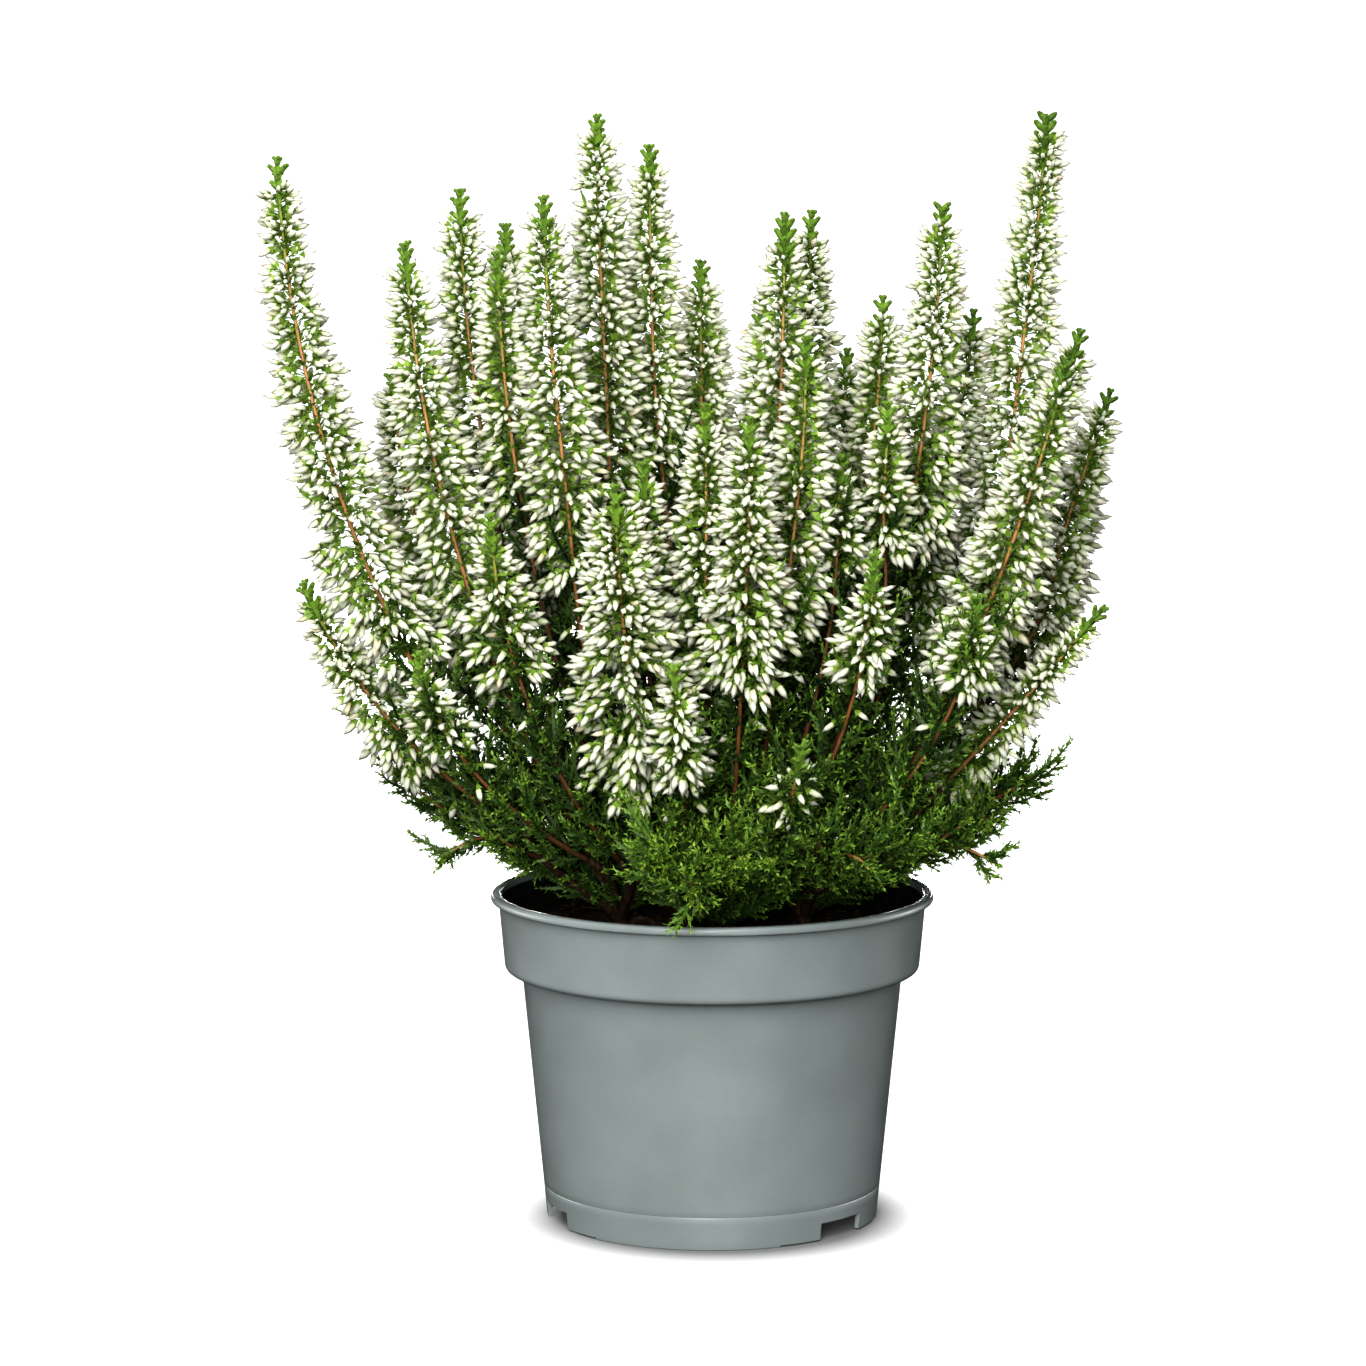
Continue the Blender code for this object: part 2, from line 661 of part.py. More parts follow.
def make_rootstock(name, root, feet):
    """A woody trunk in the peat with a branch to the foot of each stem that it carries."""
    x, y = root
    trunk = [np.array((x, y, z)) for z in (ROOT_FOOT_Z, FORK_Z - TRUNK_TAPER, FORK_Z + TRUNK_HEAD)]
    shape = tube(trunk, (TRUNK_RADIUS, *TRUNK_HEAD_RADII), TRUNK_SIDES)
    rootstock = add_object(name, mesh_from(name, *shape), [BARK_MATERIAL])
    branches = []
    for index, (foot, direction) in enumerate(feet):
        end = foot - direction * BUTT_GAP
        start = np.array((x, y, FORK_Z - BRANCH_SUNK))
        span = np.linalg.norm(end - start)
        rising = start + np.array((0.25 * (end[0] - x), 0.25 * (end[1] - y), 0.2 * span))
        arriving = end - direction * 0.4 * span
        t = np.array((0.0, 0.5, 1.0))[:, None]
        points = (1 - t) ** 3 * start + 3 * (1 - t) ** 2 * t * rising
        points += 3 * (1 - t) * t**2 * arriving + t**3 * end
        branches.append(mesh_from(f"{name}_{index}", *tube(points, BRANCH_RADII, BRANCH_SIDES)))
    unite(rootstock, branches)
    return rootstock


for leftover in list(bpy.data.objects):
    bpy.data.objects.remove(leftover)

POT_MATERIAL = material("pot_plastic", (0.245, 0.315, 0.300), 0.38)
SOIL_MATERIAL = material("peat", (0.012, 0.008, 0.006), 0.95)
BARK_MATERIAL = material("bark", (0.180, 0.085, 0.035), 0.80)
LEAF_MATERIAL = material("heather_leaf", (0.055, 0.150, 0.025), 0.60)
BUD_MATERIAL = material("flower_bud", (0.780, 0.800, 0.700), 0.50)
TIP_MATERIAL = material("young_shoot", (0.200, 0.480, 0.040), 0.55)
SPRAY_MATERIAL = material("spray_leaf", (0.070, 0.190, 0.030), 0.60)

make_pot()
make_soil()

stem_names, stem_paths, stem_reaches = stem_layout()
carried = {root: [] for root in ROOTS}
for stem_index, stem_name in enumerate(stem_names):
    stem_path = stem_paths[stem_index]
    stem_draw = random.Random(SEED + stem_index)
    if stem_index < len(SPIKES):
        make_spike(stem_name, stem_path, stem_reaches[stem_index], SPIKES[stem_index][3], stem_draw)
    else:
        make_spray(stem_name, stem_path, stem_reaches[stem_index], stem_draw)
    stem_foot = stem_path[0]
    heading = stem_path[1] - stem_path[0]
    heading = heading / np.linalg.norm(heading)
    nearest = min(ROOTS, key=lambda root: math.dist(ROOTS[root], stem_foot[:2]))
    carried[nearest].append((stem_foot, heading))
for root_name, root_place in ROOTS.items():
    make_rootstock(root_name, root_place, carried[root_name])
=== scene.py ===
# %% [markdown]
# # A potted heather, dressed for its picture
#
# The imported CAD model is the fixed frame: a pot, its peat, five rootstocks, 45 flower spikes and 8 green
# sprays, each a plain solid of the right size. This script grows the real look round the same stems. A
# heather has thousands of buds and tens of thousands of leaves, so almost everything here is one small form
# copied many times by array code, with places, sizes and shades drawn from seeded dice. Modelling each bud
# by hand would take weeks, and a lump with a bumpy material would show its smooth outline at once.

# %% Load the frame
import math
import random

import bmesh
import bpy
import numpy as np
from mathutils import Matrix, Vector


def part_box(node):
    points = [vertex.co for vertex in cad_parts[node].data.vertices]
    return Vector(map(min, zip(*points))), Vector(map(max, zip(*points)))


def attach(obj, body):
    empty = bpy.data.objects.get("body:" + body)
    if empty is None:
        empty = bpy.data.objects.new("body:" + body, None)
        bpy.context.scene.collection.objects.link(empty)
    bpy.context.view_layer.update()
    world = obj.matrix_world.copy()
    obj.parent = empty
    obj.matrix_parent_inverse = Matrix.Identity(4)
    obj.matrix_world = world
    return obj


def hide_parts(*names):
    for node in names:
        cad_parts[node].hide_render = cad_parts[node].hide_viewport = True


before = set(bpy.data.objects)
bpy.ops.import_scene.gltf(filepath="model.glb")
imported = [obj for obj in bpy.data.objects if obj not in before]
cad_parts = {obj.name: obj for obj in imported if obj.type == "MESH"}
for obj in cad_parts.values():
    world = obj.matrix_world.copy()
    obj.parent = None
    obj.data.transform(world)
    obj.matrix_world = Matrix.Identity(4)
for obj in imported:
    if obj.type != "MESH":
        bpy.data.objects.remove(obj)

MM = 0.001
GOLDEN = math.pi * (3 - math.sqrt(5))
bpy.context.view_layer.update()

# %% [markdown]
# ## Where every stem runs
#
# The CAD solids were laid out from a few rows: the tip of each stem, the height where its buds begin, its
# widest radius and how far it bows out. A rule then pushed crossing stems apart. The same rows and the same
# rule here give the same curves, so each detailed stem lies on the axis of its solid. Reading the axis back
# from the solid's mesh would also work, but its points are few and lean to one side or the other.

# %% The rows of the stems
SEED = 20
FOOT_SHARE = 0.43
FOOT_Z = 100.0
FOOT_SPREAD = 5.0
# The sprays start lower and nearer to the axis, and arch over
SPRAY_FOOT_SHARE = 0.52
SPRAY_FOOT_RING = 62.0
SPRAY_FOOT_DROP = 8.0
SPRAY_ARCH = 9.0
STEM_POINTS = 15
CLEAR = 0.7
BEND_ROUNDS = 400
TIP_LENGTH = 8.0

# Tip x, y, z, the height where the buds begin, the widest radius, and how far the stem bows out
SPIKES = (
    (-111, -56, 286, 158, 11.0, 1.00),
    (-107, -36, 176, 129, 9.5, 0.60),
    (-80, -34, 264, 161, 11.0, 0.90),
    (-88, 34, 228, 150, 10.5, 1.00),
    (-68, 10, 277, 170, 11.0, 1.00),
    (-57, -12, 261, 175, 10.0, 1.00),
    (-57, 48, 267, 160, 11.0, 1.00),
    (-44, -38, 276, 158, 11.0, 0.90),
    (-31, 6, 297, 168, 11.0, 1.00),
    (-26, 38, 267, 165, 10.5, 1.00),
    (-17, 20, 289, 175, 10.0, 1.00),
    (-3, 46, 257, 165, 10.5, 1.00),
    (0, 72, 244, 150, 10.5, 1.00),
    (14, 62, 247, 160, 10.0, 1.00),
    (19, -14, 271, 165, 11.0, 1.00),
    (27, 26, 271, 165, 10.5, 1.00),
    (24, -44, 240, 165, 10.5, 1.00),
    (38, 60, 232, 155, 10.0, 1.00),
    (47, 34, 248, 165, 10.5, 1.00),
    (47, 84, 232, 145, 10.0, 1.00),
    (61, -4, 274, 165, 11.5, 1.00),
    (72, 34, 244, 160, 10.5, 1.00),
    (92, 40, 298, 165, 11.0, 0.90),
    (99, 6, 240, 150, 11.0, 0.35),
    (92, -36, 234, 145, 11.0, 0.45),
    (110, 38, 222, 150, 10.0, 0.50),
    (-2, -48, 223, 158, 10.5, 1.00),
    (9, -70, 221, 146, 10.5, 1.00),
    (-18, -42, 208, 160, 9.5, 1.00),
    (33, -34, 209, 160, 9.5, 1.00),
    (46, -24, 222, 165, 9.5, 1.00),
    (41, -64, 186, 148, 9.0, 1.00),
    (68, -56, 174, 145, 8.5, 1.00),
    (103, -22, 168, 122, 8.0, 0.10),
    (22, -84, 140, 124, 6.5, 0.80),
    (-25, -74, 204, 131, 11.5, 1.00),
    (-10, -88, 160, 128, 8.0, 0.90),
    (-57, -62, 196, 145, 10.5, 1.00),
    (-76, -60, 160, 138, 8.0, 0.90),
    (-80, 68, 214, 140, 10.5, 1.00),
    (-44, 84, 208, 140, 10.5, 1.00),
    (-10, 89, 198, 132, 10.5, 1.00),
    (24, 89, 202, 135, 10.0, 1.00),
    (62, 80, 210, 140, 10.5, 1.00),
    (108, 62, 206, 138, 10.5, 0.90),
)

# Tip x, y, z, the widest radius, and how far the spray bows out
SPRAYS = (
    (-6, -76, 98, 6.5, 0.4),
    (-72, -14, 100, 6.5, 0.5),
    (75, -34, 101, 6.5, 0.5),
    (40, -74, 106, 6.5, 0.7),
    (-86, 18, 118, 6.5, 0.8),
    (88, 8, 116, 6.5, 0.8),
    (-44, 72, 110, 6.5, 0.8),
    (44, 72, 110, 6.5, 0.8),
)
print("stems:", len(SPIKES), "spikes and", len(SPRAYS), "sprays")


# %% The curve of one stem
def bezier(start, first, second, end, count):
    """Points along a cubic curve, as rows."""
    t = np.linspace(0, 1, count)[:, None]
    return (1 - t) ** 3 * start + 3 * (1 - t) ** 2 * t * first + 3 * (1 - t) * t**2 * second + t**3 * end


def bowed(foot, tip, bow, count):
    """Points along a stem that leaves its foot outwards and turns upright towards its tip."""
    foot = np.array(foot, float)
    tip = np.array(tip, float)
    run = tip - foot
    flat = np.array((run[0], run[1], 0.0))
    rise = np.array((0.0, 0.0, run[2]))
    # Two handles at thirds of the way; the bow moves both outwards and a little down
    first = foot + flat * (0.33 + 0.27 * bow) + rise * (0.33 - 0.06 * bow)
    second = foot + flat * (0.67 + 0.30 * bow) + rise * (0.67 - 0.02 * bow)
    return bezier(foot, first, second, tip, count)


print("middle of a bowed stem:", bowed((0, 0, 0), (30, 0, 90), 1.0, 3)[1].round(1))


# %% How far leaves and buds stand out from a stem
# The leafy foot widens as it rises, the bloom narrows to its top, and the green tip is narrower still
LEAFY_REACH = 3.5
LEAFY_GAIN = 3.0
LEAFY_RISE = 35.0
BLOOM_TOP_REACH = 5.6
TIP_REACH = 3.6
SPRAY_END_REACH = 1.8


def spike_reach(z, foot_z, top, bloom_z, widest):
    """Reach from the axis at the heights z of a flower spike."""
    leafy = LEAFY_REACH + LEAFY_GAIN * np.clip((z - foot_z) / LEAFY_RISE, 0, 1)
    share = np.clip((z - bloom_z) / (top - bloom_z), 0, 1)
    bloom = widest + (BLOOM_TOP_REACH - widest) * share**0.8
    reach = np.where(z < bloom_z, np.minimum(leafy, widest), bloom)
    return np.where(z > top - TIP_LENGTH, TIP_REACH, reach)


def spray_reach(count, widest):
    """Reach from the axis at even steps along a green spray."""
    share = np.linspace(0, 1, count)
    swell = np.sin(math.pi * np.clip(0.9 * share, 0, 1)) ** 0.7
    return SPRAY_END_REACH + (widest - SPRAY_END_REACH) * swell


print("reach along a spray, mm:", spray_reach(5, 6.5).round(1))


# %% Push crossing stems apart
# A bend spreads over this many points, is freest between foot and tip, and grows in small steps
BEND_SPREAD = 2.2
FOOT_FREEDOM = 0.35
TIP_HOLD = 0.75
LONGEST_PUSH = 2.0
NEAR_ENOUGH = 0.05


def bend_clear(paths, reaches):
    """Pushes crossing stems apart sideways. Each bend is smooth along its stem; a tip moves little in X."""
    count, points, _ = paths.shape
    along = np.arange(points)
    smooth = np.exp(-(((along[:, None] - along[None, :]) / BEND_SPREAD) ** 2))
    smooth /= smooth.sum(axis=1, keepdims=True)
    owner = np.repeat(np.arange(count), points)
    apart = owner[:, None] != owner[None, :]
    reach = reaches.reshape(-1)
    touching = (reach[:, None] + reach[None, :] + CLEAR) ** 2
    foot_hold = np.clip(FOOT_FREEDOM + along / 4.0, 0, 1)[None, :, None]
    tip_hold = np.ones((1, points, 3))
    tip_hold[0, :, 0] = np.clip(1.0 - TIP_HOLD * (along / (points - 1.0)) ** 2, 0, 1)
    tip_hold[0, :, 2] = 0.0
    for _ in range(BEND_ROUNDS):
        flat = paths.reshape(-1, 3)
        squares = (flat**2).sum(axis=1)
        spans = squares[:, None] + squares[None, :] - 2 * flat @ flat.T
        here, there = np.nonzero(apart & (spans < touching))
        offset = flat[here] - flat[there]
        need = reach[here] + reach[there] + CLEAR - np.linalg.norm(offset, axis=1)
        if need.max(initial=0.0) < NEAR_ENOUGH:
            break
        offset[:, 2] = 0.0
        offset /= np.linalg.norm(offset, axis=1, keepdims=True) + 1e-6
        push = np.zeros_like(flat)
        np.add.at(push, here, np.clip(need, 0.0, None)[:, None] * offset / 3.0)
        push = np.clip(push, -LONGEST_PUSH, LONGEST_PUSH).reshape(paths.shape)
        paths = paths + 0.5 * np.einsum("ab,nbc->nac", smooth, push) * foot_hold * tip_hold
    return paths


# %% Lay out every stem
def stem_layout():
    """The points of every spike and then of every spray."""
    draw = random.Random(SEED)
    paths = []
    reaches = []
    for x, y, z, bloom_z, widest, bow in SPIKES:
        foot = (FOOT_SHARE * x, FOOT_SHARE * y, FOOT_Z + FOOT_SPREAD * draw.random())
        path = bowed(foot, (x, y, z), bow, STEM_POINTS)
        paths.append(path)
        reaches.append(spike_reach(path[:, 2], path[0, 2], path[-1, 2], bloom_z, widest))
    for x, y, z, widest, bow in SPRAYS:
        out = SPRAY_FOOT_SHARE * min(1.0, SPRAY_FOOT_RING / math.hypot(x, y))
        path = bowed((out * x, out * y, FOOT_Z - SPRAY_FOOT_DROP), (x, y, z), bow, STEM_POINTS)
        path[:, 2] += SPRAY_ARCH * np.sin(math.pi * np.linspace(0, 1, STEM_POINTS))
        paths.append(path)
        reaches.append(spray_reach(STEM_POINTS, widest))
    return bend_clear(np.array(paths), np.array(reaches))


stem_paths = stem_layout()
for index in (0, 22):
    low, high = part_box(f"spike_{index + 1:02d}")
    tip = np.round(stem_paths[index, -1], 1)
    print(f"spike_{index + 1:02d} tip: curve", tip, "solid top", round(high.z / MM, 1))

# %% [markdown]
# ## Small forms, copied many times
#
# Beside plain tubes, four templates make the whole plant: a bud, the green cup that holds it, a leaf, and the
# blunt lobe of a young tip. A template is a few points and triangles of unit size, and `copies` sets it at
# every place of a list in one array step. Geometry nodes could instance them too, but the mesh here is wanted
# as real triangles.


# %% Vector helpers
def unit(vectors):
    """Each row of the array at length one."""
    return vectors / (np.linalg.norm(vectors, axis=-1, keepdims=True) + 1e-12)


def around(angles, sides, across):
    """Directions across a stem or twig at the given turns about it."""
    return np.cos(angles)[..., None] * sides + np.sin(angles)[..., None] * across


def ring(radius, sides):
    """Points (x, y) of a circle round the origin."""
    angles = [2 * math.pi * side / sides for side in range(sides)]
    return [(radius * math.cos(angle), radius * math.sin(angle)) for angle in angles]


def copies(template, origins, axes, sides, lengths, widths):
    """A template set at every origin, its z along the axis and its x along the side."""
    shape, triangles = template
    across = np.cross(axes, sides)
    wide = widths[:, None, None]
    points = (
        origins[:, None]
        + shape[None, :, 0:1] * wide * sides[:, None]
        + shape[None, :, 1:2] * wide * across[:, None]
        + shape[None, :, 2:3] * lengths[:, None, None] * axes[:, None]
    )
    starts = len(shape) * np.arange(len(origins))
    return points.reshape(-1, 3), (triangles[None] + starts[:, None, None]).reshape(-1, 3)


print("a ring of four:", np.round(ring(1.0, 4), 3).tolist())


# %% The bud, the cup, the leaf and the lobe
def spindle(rings, sides):
    """A closed form from a point at z 0 through rings of (radius, z) to a point at z 1."""
    points = [(0.0, 0.0, 0.0)]
    for radius, z in rings:
        points += [(x, y, z) for x, y in ring(radius, sides)]
    points.append((0.0, 0.0, 1.0))
    triangles = []
    last = len(points) - 1
    top = last - sides
    for side in range(sides):
        after = (side + 1) % sides
        triangles.append((0, 1 + after, 1 + side))
        triangles.append((top + side, top + after, last))
        for low in range(1, top, sides):
            high = low + sides
            triangles.append((low + side, low + after, high + after))
            triangles.append((low + side, high + after, high + side))
    return np.array(points), np.array(triangles)


BUD = spindle(((0.46, 0.22), (0.43, 0.60)), 4)
# A cup is a three-sided pyramid that stands on its point, open where the bud fills it
CUP = (
    np.array(((0.0, 0.0, 0.0), (0.60, 0.0, 0.9), (-0.30, 0.52, 0.9), (-0.30, -0.52, 0.9))),
    np.array(((0, 2, 1), (0, 3, 2), (0, 1, 3))),
)
# A leaf is a blade folded along its midrib: base, left edge, right edge, tip
LEAF = (
    np.array(((0.0, 0.0, 0.0), (-0.5, 0.25, 0.45), (0.5, 0.25, 0.45), (0.0, 0.0, 1.0))),
    np.array(((0, 1, 3), (0, 3, 2))),
)
LOBE = spindle(((0.38, 0.12), (0.50, 0.50), (0.40, 0.86)), 4)
print("triangles: bud", len(BUD[1]), "cup", len(CUP[1]), "leaf", len(LEAF[1]), "lobe", len(LOBE[1]))


# %% Gather forms into one mesh
STEM_KIND, LEAF_KIND = 0, 1


class Growth:
    """Gathers many small forms, each with its material and its shade, and makes one mesh of them."""

    def __init__(self):
        self.points = []
        self.triangles = []
        self.kinds = []
        self.tones = []
        self.heights = []
        self.count = 0

    def add(self, form, kind, tones, height=0.0):
        points, triangles = form
        self.points.append(points)
        self.triangles.append(triangles + self.count)
        self.kinds.append(np.full(len(triangles), kind))
        self.tones.append(np.broadcast_to(tones, len(points)))
        self.heights.append(np.broadcast_to(height, len(points)))
        self.count += len(points)

    def add_copies(self, template, kind, tones, *placing):
        """Copies of a template, each in one shade."""
        self.add(copies(template, *placing), kind, np.repeat(tones, len(template[0])))

    def add_cores(self, twigs, shares, radii, shift=0.0):
        """The green cores of many twigs."""
        form, tones = twigs.tubes(shares, radii)
        self.add(form, LEAF_KIND, tones + shift)

    def add_stem(self, stem, margin, radii, shades):
        """A brown main stem. Its radii and its shades are each (shares of the length, values there)."""
        lengths = np.arange(0, stem.length - margin, CORE_STEP)
        share = lengths / stem.length
        shade = np.interp(share, *shades)
        tones = np.append(np.repeat(shade, CORE_SIDES), (shade[0], shade[-1]))
        self.add(stem.tube(lengths, np.interp(share, *radii), CORE_SIDES), STEM_KIND, tones)

    def make(self, name, materials, smooth):
        """The object, in metres. tone and along are float values on its points for the materials to read."""
        triangles = np.concatenate(self.triangles)
        kinds = np.concatenate(self.kinds)
        mesh = bpy.data.meshes.new(name)
        mesh.vertices.add(self.count)
        mesh.vertices.foreach_set("co", (MM * np.concatenate(self.points)).astype(np.float32).ravel())
        mesh.loops.add(3 * len(triangles))
        mesh.loops.foreach_set("vertex_index", triangles.astype(np.int32).ravel())
        mesh.polygons.add(len(triangles))
        mesh.polygons.foreach_set("loop_start", np.arange(0, 3 * len(triangles), 3, dtype=np.int32))
        mesh.polygons.foreach_set("material_index", kinds.astype(np.int32))
        mesh.update(calc_edges=True)
        for label, values in (("tone", self.tones), ("along", self.heights)):
            layer = mesh.attributes.new(label, "FLOAT", "POINT")
            layer.data.foreach_set("value", np.concatenate(values).astype(np.float32))
        mesh.polygons.foreach_set("use_smooth", np.isin(kinds, smooth))
        for each in materials:
            mesh.materials.append(each)
        return placed(name, mesh)


def placed(name, data):
    """A new object that holds the data, linked into the scene."""
    made = bpy.data.objects.new(name, data)
    bpy.context.scene.collection.objects.link(made)
    return made


print("materials of a green piece: stem", STEM_KIND, "and leaf", LEAF_KIND)

# %% [markdown]
# ## Twigs as arrays
#
# A side twig is short, so a parabola is curve enough: a start, a heading, a bend and a length. Holding a
# thousand of them as four arrays lets one formula place every leaf of all of them together. `Stem` is the
# same idea for one long main stem, with a frame that is carried along it without twist.

# %% Main stems
CORE_STEP = 2.5
CORE_SIDES = 5


class Stem:
    """A smooth main stem with a frame at every millimetre."""

    def __init__(self, path, step=1.0):
        ends = (2 * path[:1] - path[1:2], 2 * path[-1:] - path[-2:-1])
        guide = np.concatenate([ends[0], path, ends[1]])
        t = np.linspace(0, 1, 8, endpoint=False)[:, None]
        fine = []
        for a, b, c, d in zip(guide, guide[1:], guide[2:], guide[3:]):
            curve = 2 * b + (c - a) * t + (2 * a - 5 * b + 4 * c - d) * t**2 + (3 * b - a - 3 * c + d) * t**3
            fine.append(0.5 * curve)
        fine = np.concatenate([*fine, path[-1:]])
        run = np.concatenate([[0], np.cumsum(np.linalg.norm(np.diff(fine, axis=0), axis=1))])
        self.length = run[-1]
        self.run = np.linspace(0, self.length, max(4, round(self.length / step)) + 1)
        self.points = between(self.run, run, fine)
        self.tangents = unit(np.gradient(self.points, axis=0))
        first = np.cross(self.tangents[0], (0.3, 1.0, 0.1))
        firsts = []
        for tangent in self.tangents:
            first = unit(first - tangent * (first @ tangent))
            firsts.append(first)
        self.firsts = np.array(firsts)
        self.seconds = np.cross(self.tangents, self.firsts)

    def round(self, lengths, angles):
        """Place, heading and outward direction at the given lengths and turns about the stem."""
        rows = (self.points, self.tangents, self.firsts, self.seconds)
        places, headings, firsts, seconds = (between(lengths, self.run, values) for values in rows)
        return places, unit(headings), unit(around(angles, firsts, seconds))

    def spiral(self, lengths, wobble, draw, turn=0.0):
        """The same at places a golden angle apart, give or take a wobble."""
        angles = GOLDEN * np.arange(len(lengths)) + turn + draw.normal(0, wobble, len(lengths))
        return self.round(lengths, angles)

    def tube(self, lengths, radii, sides):
        """A closed tube along the stem with the given radii at the given lengths."""
        angles = np.broadcast_to(2 * math.pi * np.arange(sides) / sides, (len(lengths), sides))
        places, _, outward = self.round(np.repeat(lengths, sides), angles.ravel())
        rings = places + np.repeat(radii, sides)[:, None] * outward
        ends = self.round(np.array([lengths[0], lengths[-1]]), np.zeros(2))
        points = np.concatenate([rings, ends[0] + ends[1] * np.array([[0.0], [radii[-1]]])])
        return points, tube_triangles(len(lengths), sides)


def between(places, run, values):
    """Rows of values read at places between those of the run."""
    return np.stack([np.interp(places, run, values[:, axis]) for axis in range(3)], axis=-1)


def tube_triangles(rings, sides):
    """Triangles of a tube whose two end points follow its rings."""
    side = np.arange(sides)
    after = (side + 1) % sides
    low = sides * np.arange(rings - 1)[:, None]
    walls = [
        np.stack([low + side, low + after, low + sides + after], axis=-1),
        np.stack([low + side, low + sides + after, low + sides + side], axis=-1),
    ]
    foot = np.stack([np.full(sides, rings * sides), after, side], axis=-1)
    top = (rings - 1) * sides
    head = np.stack([top + side, top + after, np.full(sides, rings * sides + 1)], axis=-1)
    return np.concatenate([*(wall.reshape(-1, 3) for wall in walls), foot, head])


first_stem = Stem(stem_paths[0])
print("first stem, mm:", round(first_stem.length, 1))


# %% Many short twigs at once
class Twigs:
    """Short curved twigs as arrays: starts, headings, bends, lengths and shades."""

    def __init__(self, starts, headings, bends, lengths, tones):
        self.starts = starts
        self.headings = unit(headings)
        self.bends = bends
        self.lengths = lengths
        self.tones = tones
        self.sides = unit(np.cross(self.headings, (0.13, 0.21, 1.0)))

    def at(self, owners, t):
        """Places, headings and two directions across, at the shares t of the owners' lengths."""
        share = t[:, None]
        way = share * self.headings[owners] + 0.5 * share**2 * self.bends[owners]
        places = self.starts[owners] + self.lengths[owners, None] * way
        headings = unit(self.headings[owners] + share * self.bends[owners])
        sides = self.sides[owners]
        sides = unit(sides - headings * (sides * headings).sum(axis=1, keepdims=True))
        return places, headings, sides, np.cross(headings, sides)

    def slots(self, pitch, first, last=1.0):
        """Owner, order and share of evenly spaced places along every twig."""
        counts = np.maximum(1, ((last - first) * self.lengths / pitch).astype(int))
        owners = np.repeat(np.arange(len(counts)), counts)
        order = np.arange(counts.sum()) - np.repeat(np.cumsum(counts) - counts, counts)
        return owners, order, first + (last - first) * (order + 0.5) / counts[owners]

    def tubes(self, shares, radii):
        """Three-sided cores along all the twigs, pointed at both ends, with their shades."""
        every = np.arange(len(self.lengths))
        points = []
        for share, radius in zip(shares, radii):
            places, _, sides, across = self.at(every, np.full(len(every), share))
            for side in range(3):
                points.append(places + radius * around(2 * math.pi * side / 3, sides, across))
        for share in (0.0, 1.0):
            points.append(self.at(every, np.full(len(every), share))[0])
        triangles = tube_triangles(len(shares), 3)[None] + len(points) * every[:, None, None]
        form = (np.stack(points, axis=1).reshape(-1, 3), triangles.reshape(-1, 3))
        return form, np.repeat(self.tones, len(points))

    def shoots(self, draw, pitch, span, sizes, spread, lean, brighten, wobble=0.0):
        """Side shoots a golden angle apart, between two shares of each twig, shorter and paler to its tip."""
        owners, order, t = self.slots(pitch, *span)
        places, headings, sides, across = self.at(owners, t)
        angles = GOLDEN * order
        if wobble:
            angles = angles + draw.normal(0, wobble, len(t))
        way = math.cos(lean) * headings + math.sin(lean) * around(angles, sides, across)
        lengths = np.interp(t, (0, 1), sizes) * draw.uniform(*spread, len(t))
        tones = self.tones[owners] + brighten * t**2 + draw.normal(0, 0.05, len(t))
        return Twigs(places, way, 0.5 * headings, lengths, tones), owners


pair = Twigs(np.zeros((2, 3)), np.eye(3)[:2], np.zeros((2, 3)), np.array((10.0, 20.0)), np.zeros(2))
print("places 2 mm apart on twigs of 10 and 20 mm:", len(pair.slots(2.0, 0.0)[0]))


# %% Clothe twigs with leaves
LEAF_SLIMNESS = 0.42


def clothe(growth, twigs, pitch, length, lean_foot, lean_tip, draw, first=0.12, brighten=0.35):
    """Sets leaves in crossed pairs along twigs. They lean out at the foot and close up towards the tip."""
    owners, order, t = twigs.slots(pitch, first)
    places, headings, sides, across = twigs.at(owners, t)
    lean = lean_foot + (lean_tip - lean_foot) * t**1.5
    for turn in (0.0, math.pi):
        outward = around(turn + 0.5 * math.pi * order + draw.normal(0, 0.22, len(t)) + 0.6, sides, across)
        axes = unit(around(lean + draw.normal(0, 0.12, len(t)), headings, outward))
        size = length * draw.uniform(0.8, 1.15, len(t)) * (1 - 0.25 * t)
        tones = twigs.tones[owners] + brighten * t**2 + draw.normal(0, 0.06, len(t))
        flat = unit(np.cross(axes, outward))
        growth.add_copies(LEAF, LEAF_KIND, tones, places, axes, flat, size, LEAF_SLIMNESS * size)


trial = Growth()
clothe(trial, pair, 1.0, 2.0, 1.0, 0.4, np.random.default_rng(SEED))
print("leaves on the two twigs:", trial.count // len(LEAF[0]))

# %% [markdown]
# ## Finishes
#
# Every finish is made of nodes in the material, at the scale of the real thing. The plant parts read two
# values that the mesh carries on its points: `tone`, the shade drawn for each leaf or bud, and `along`, the
# way from the foot of a bud to its point. Painting textures would need an unwrapped mesh, and a single flat
# green would make the plant look like plastic.


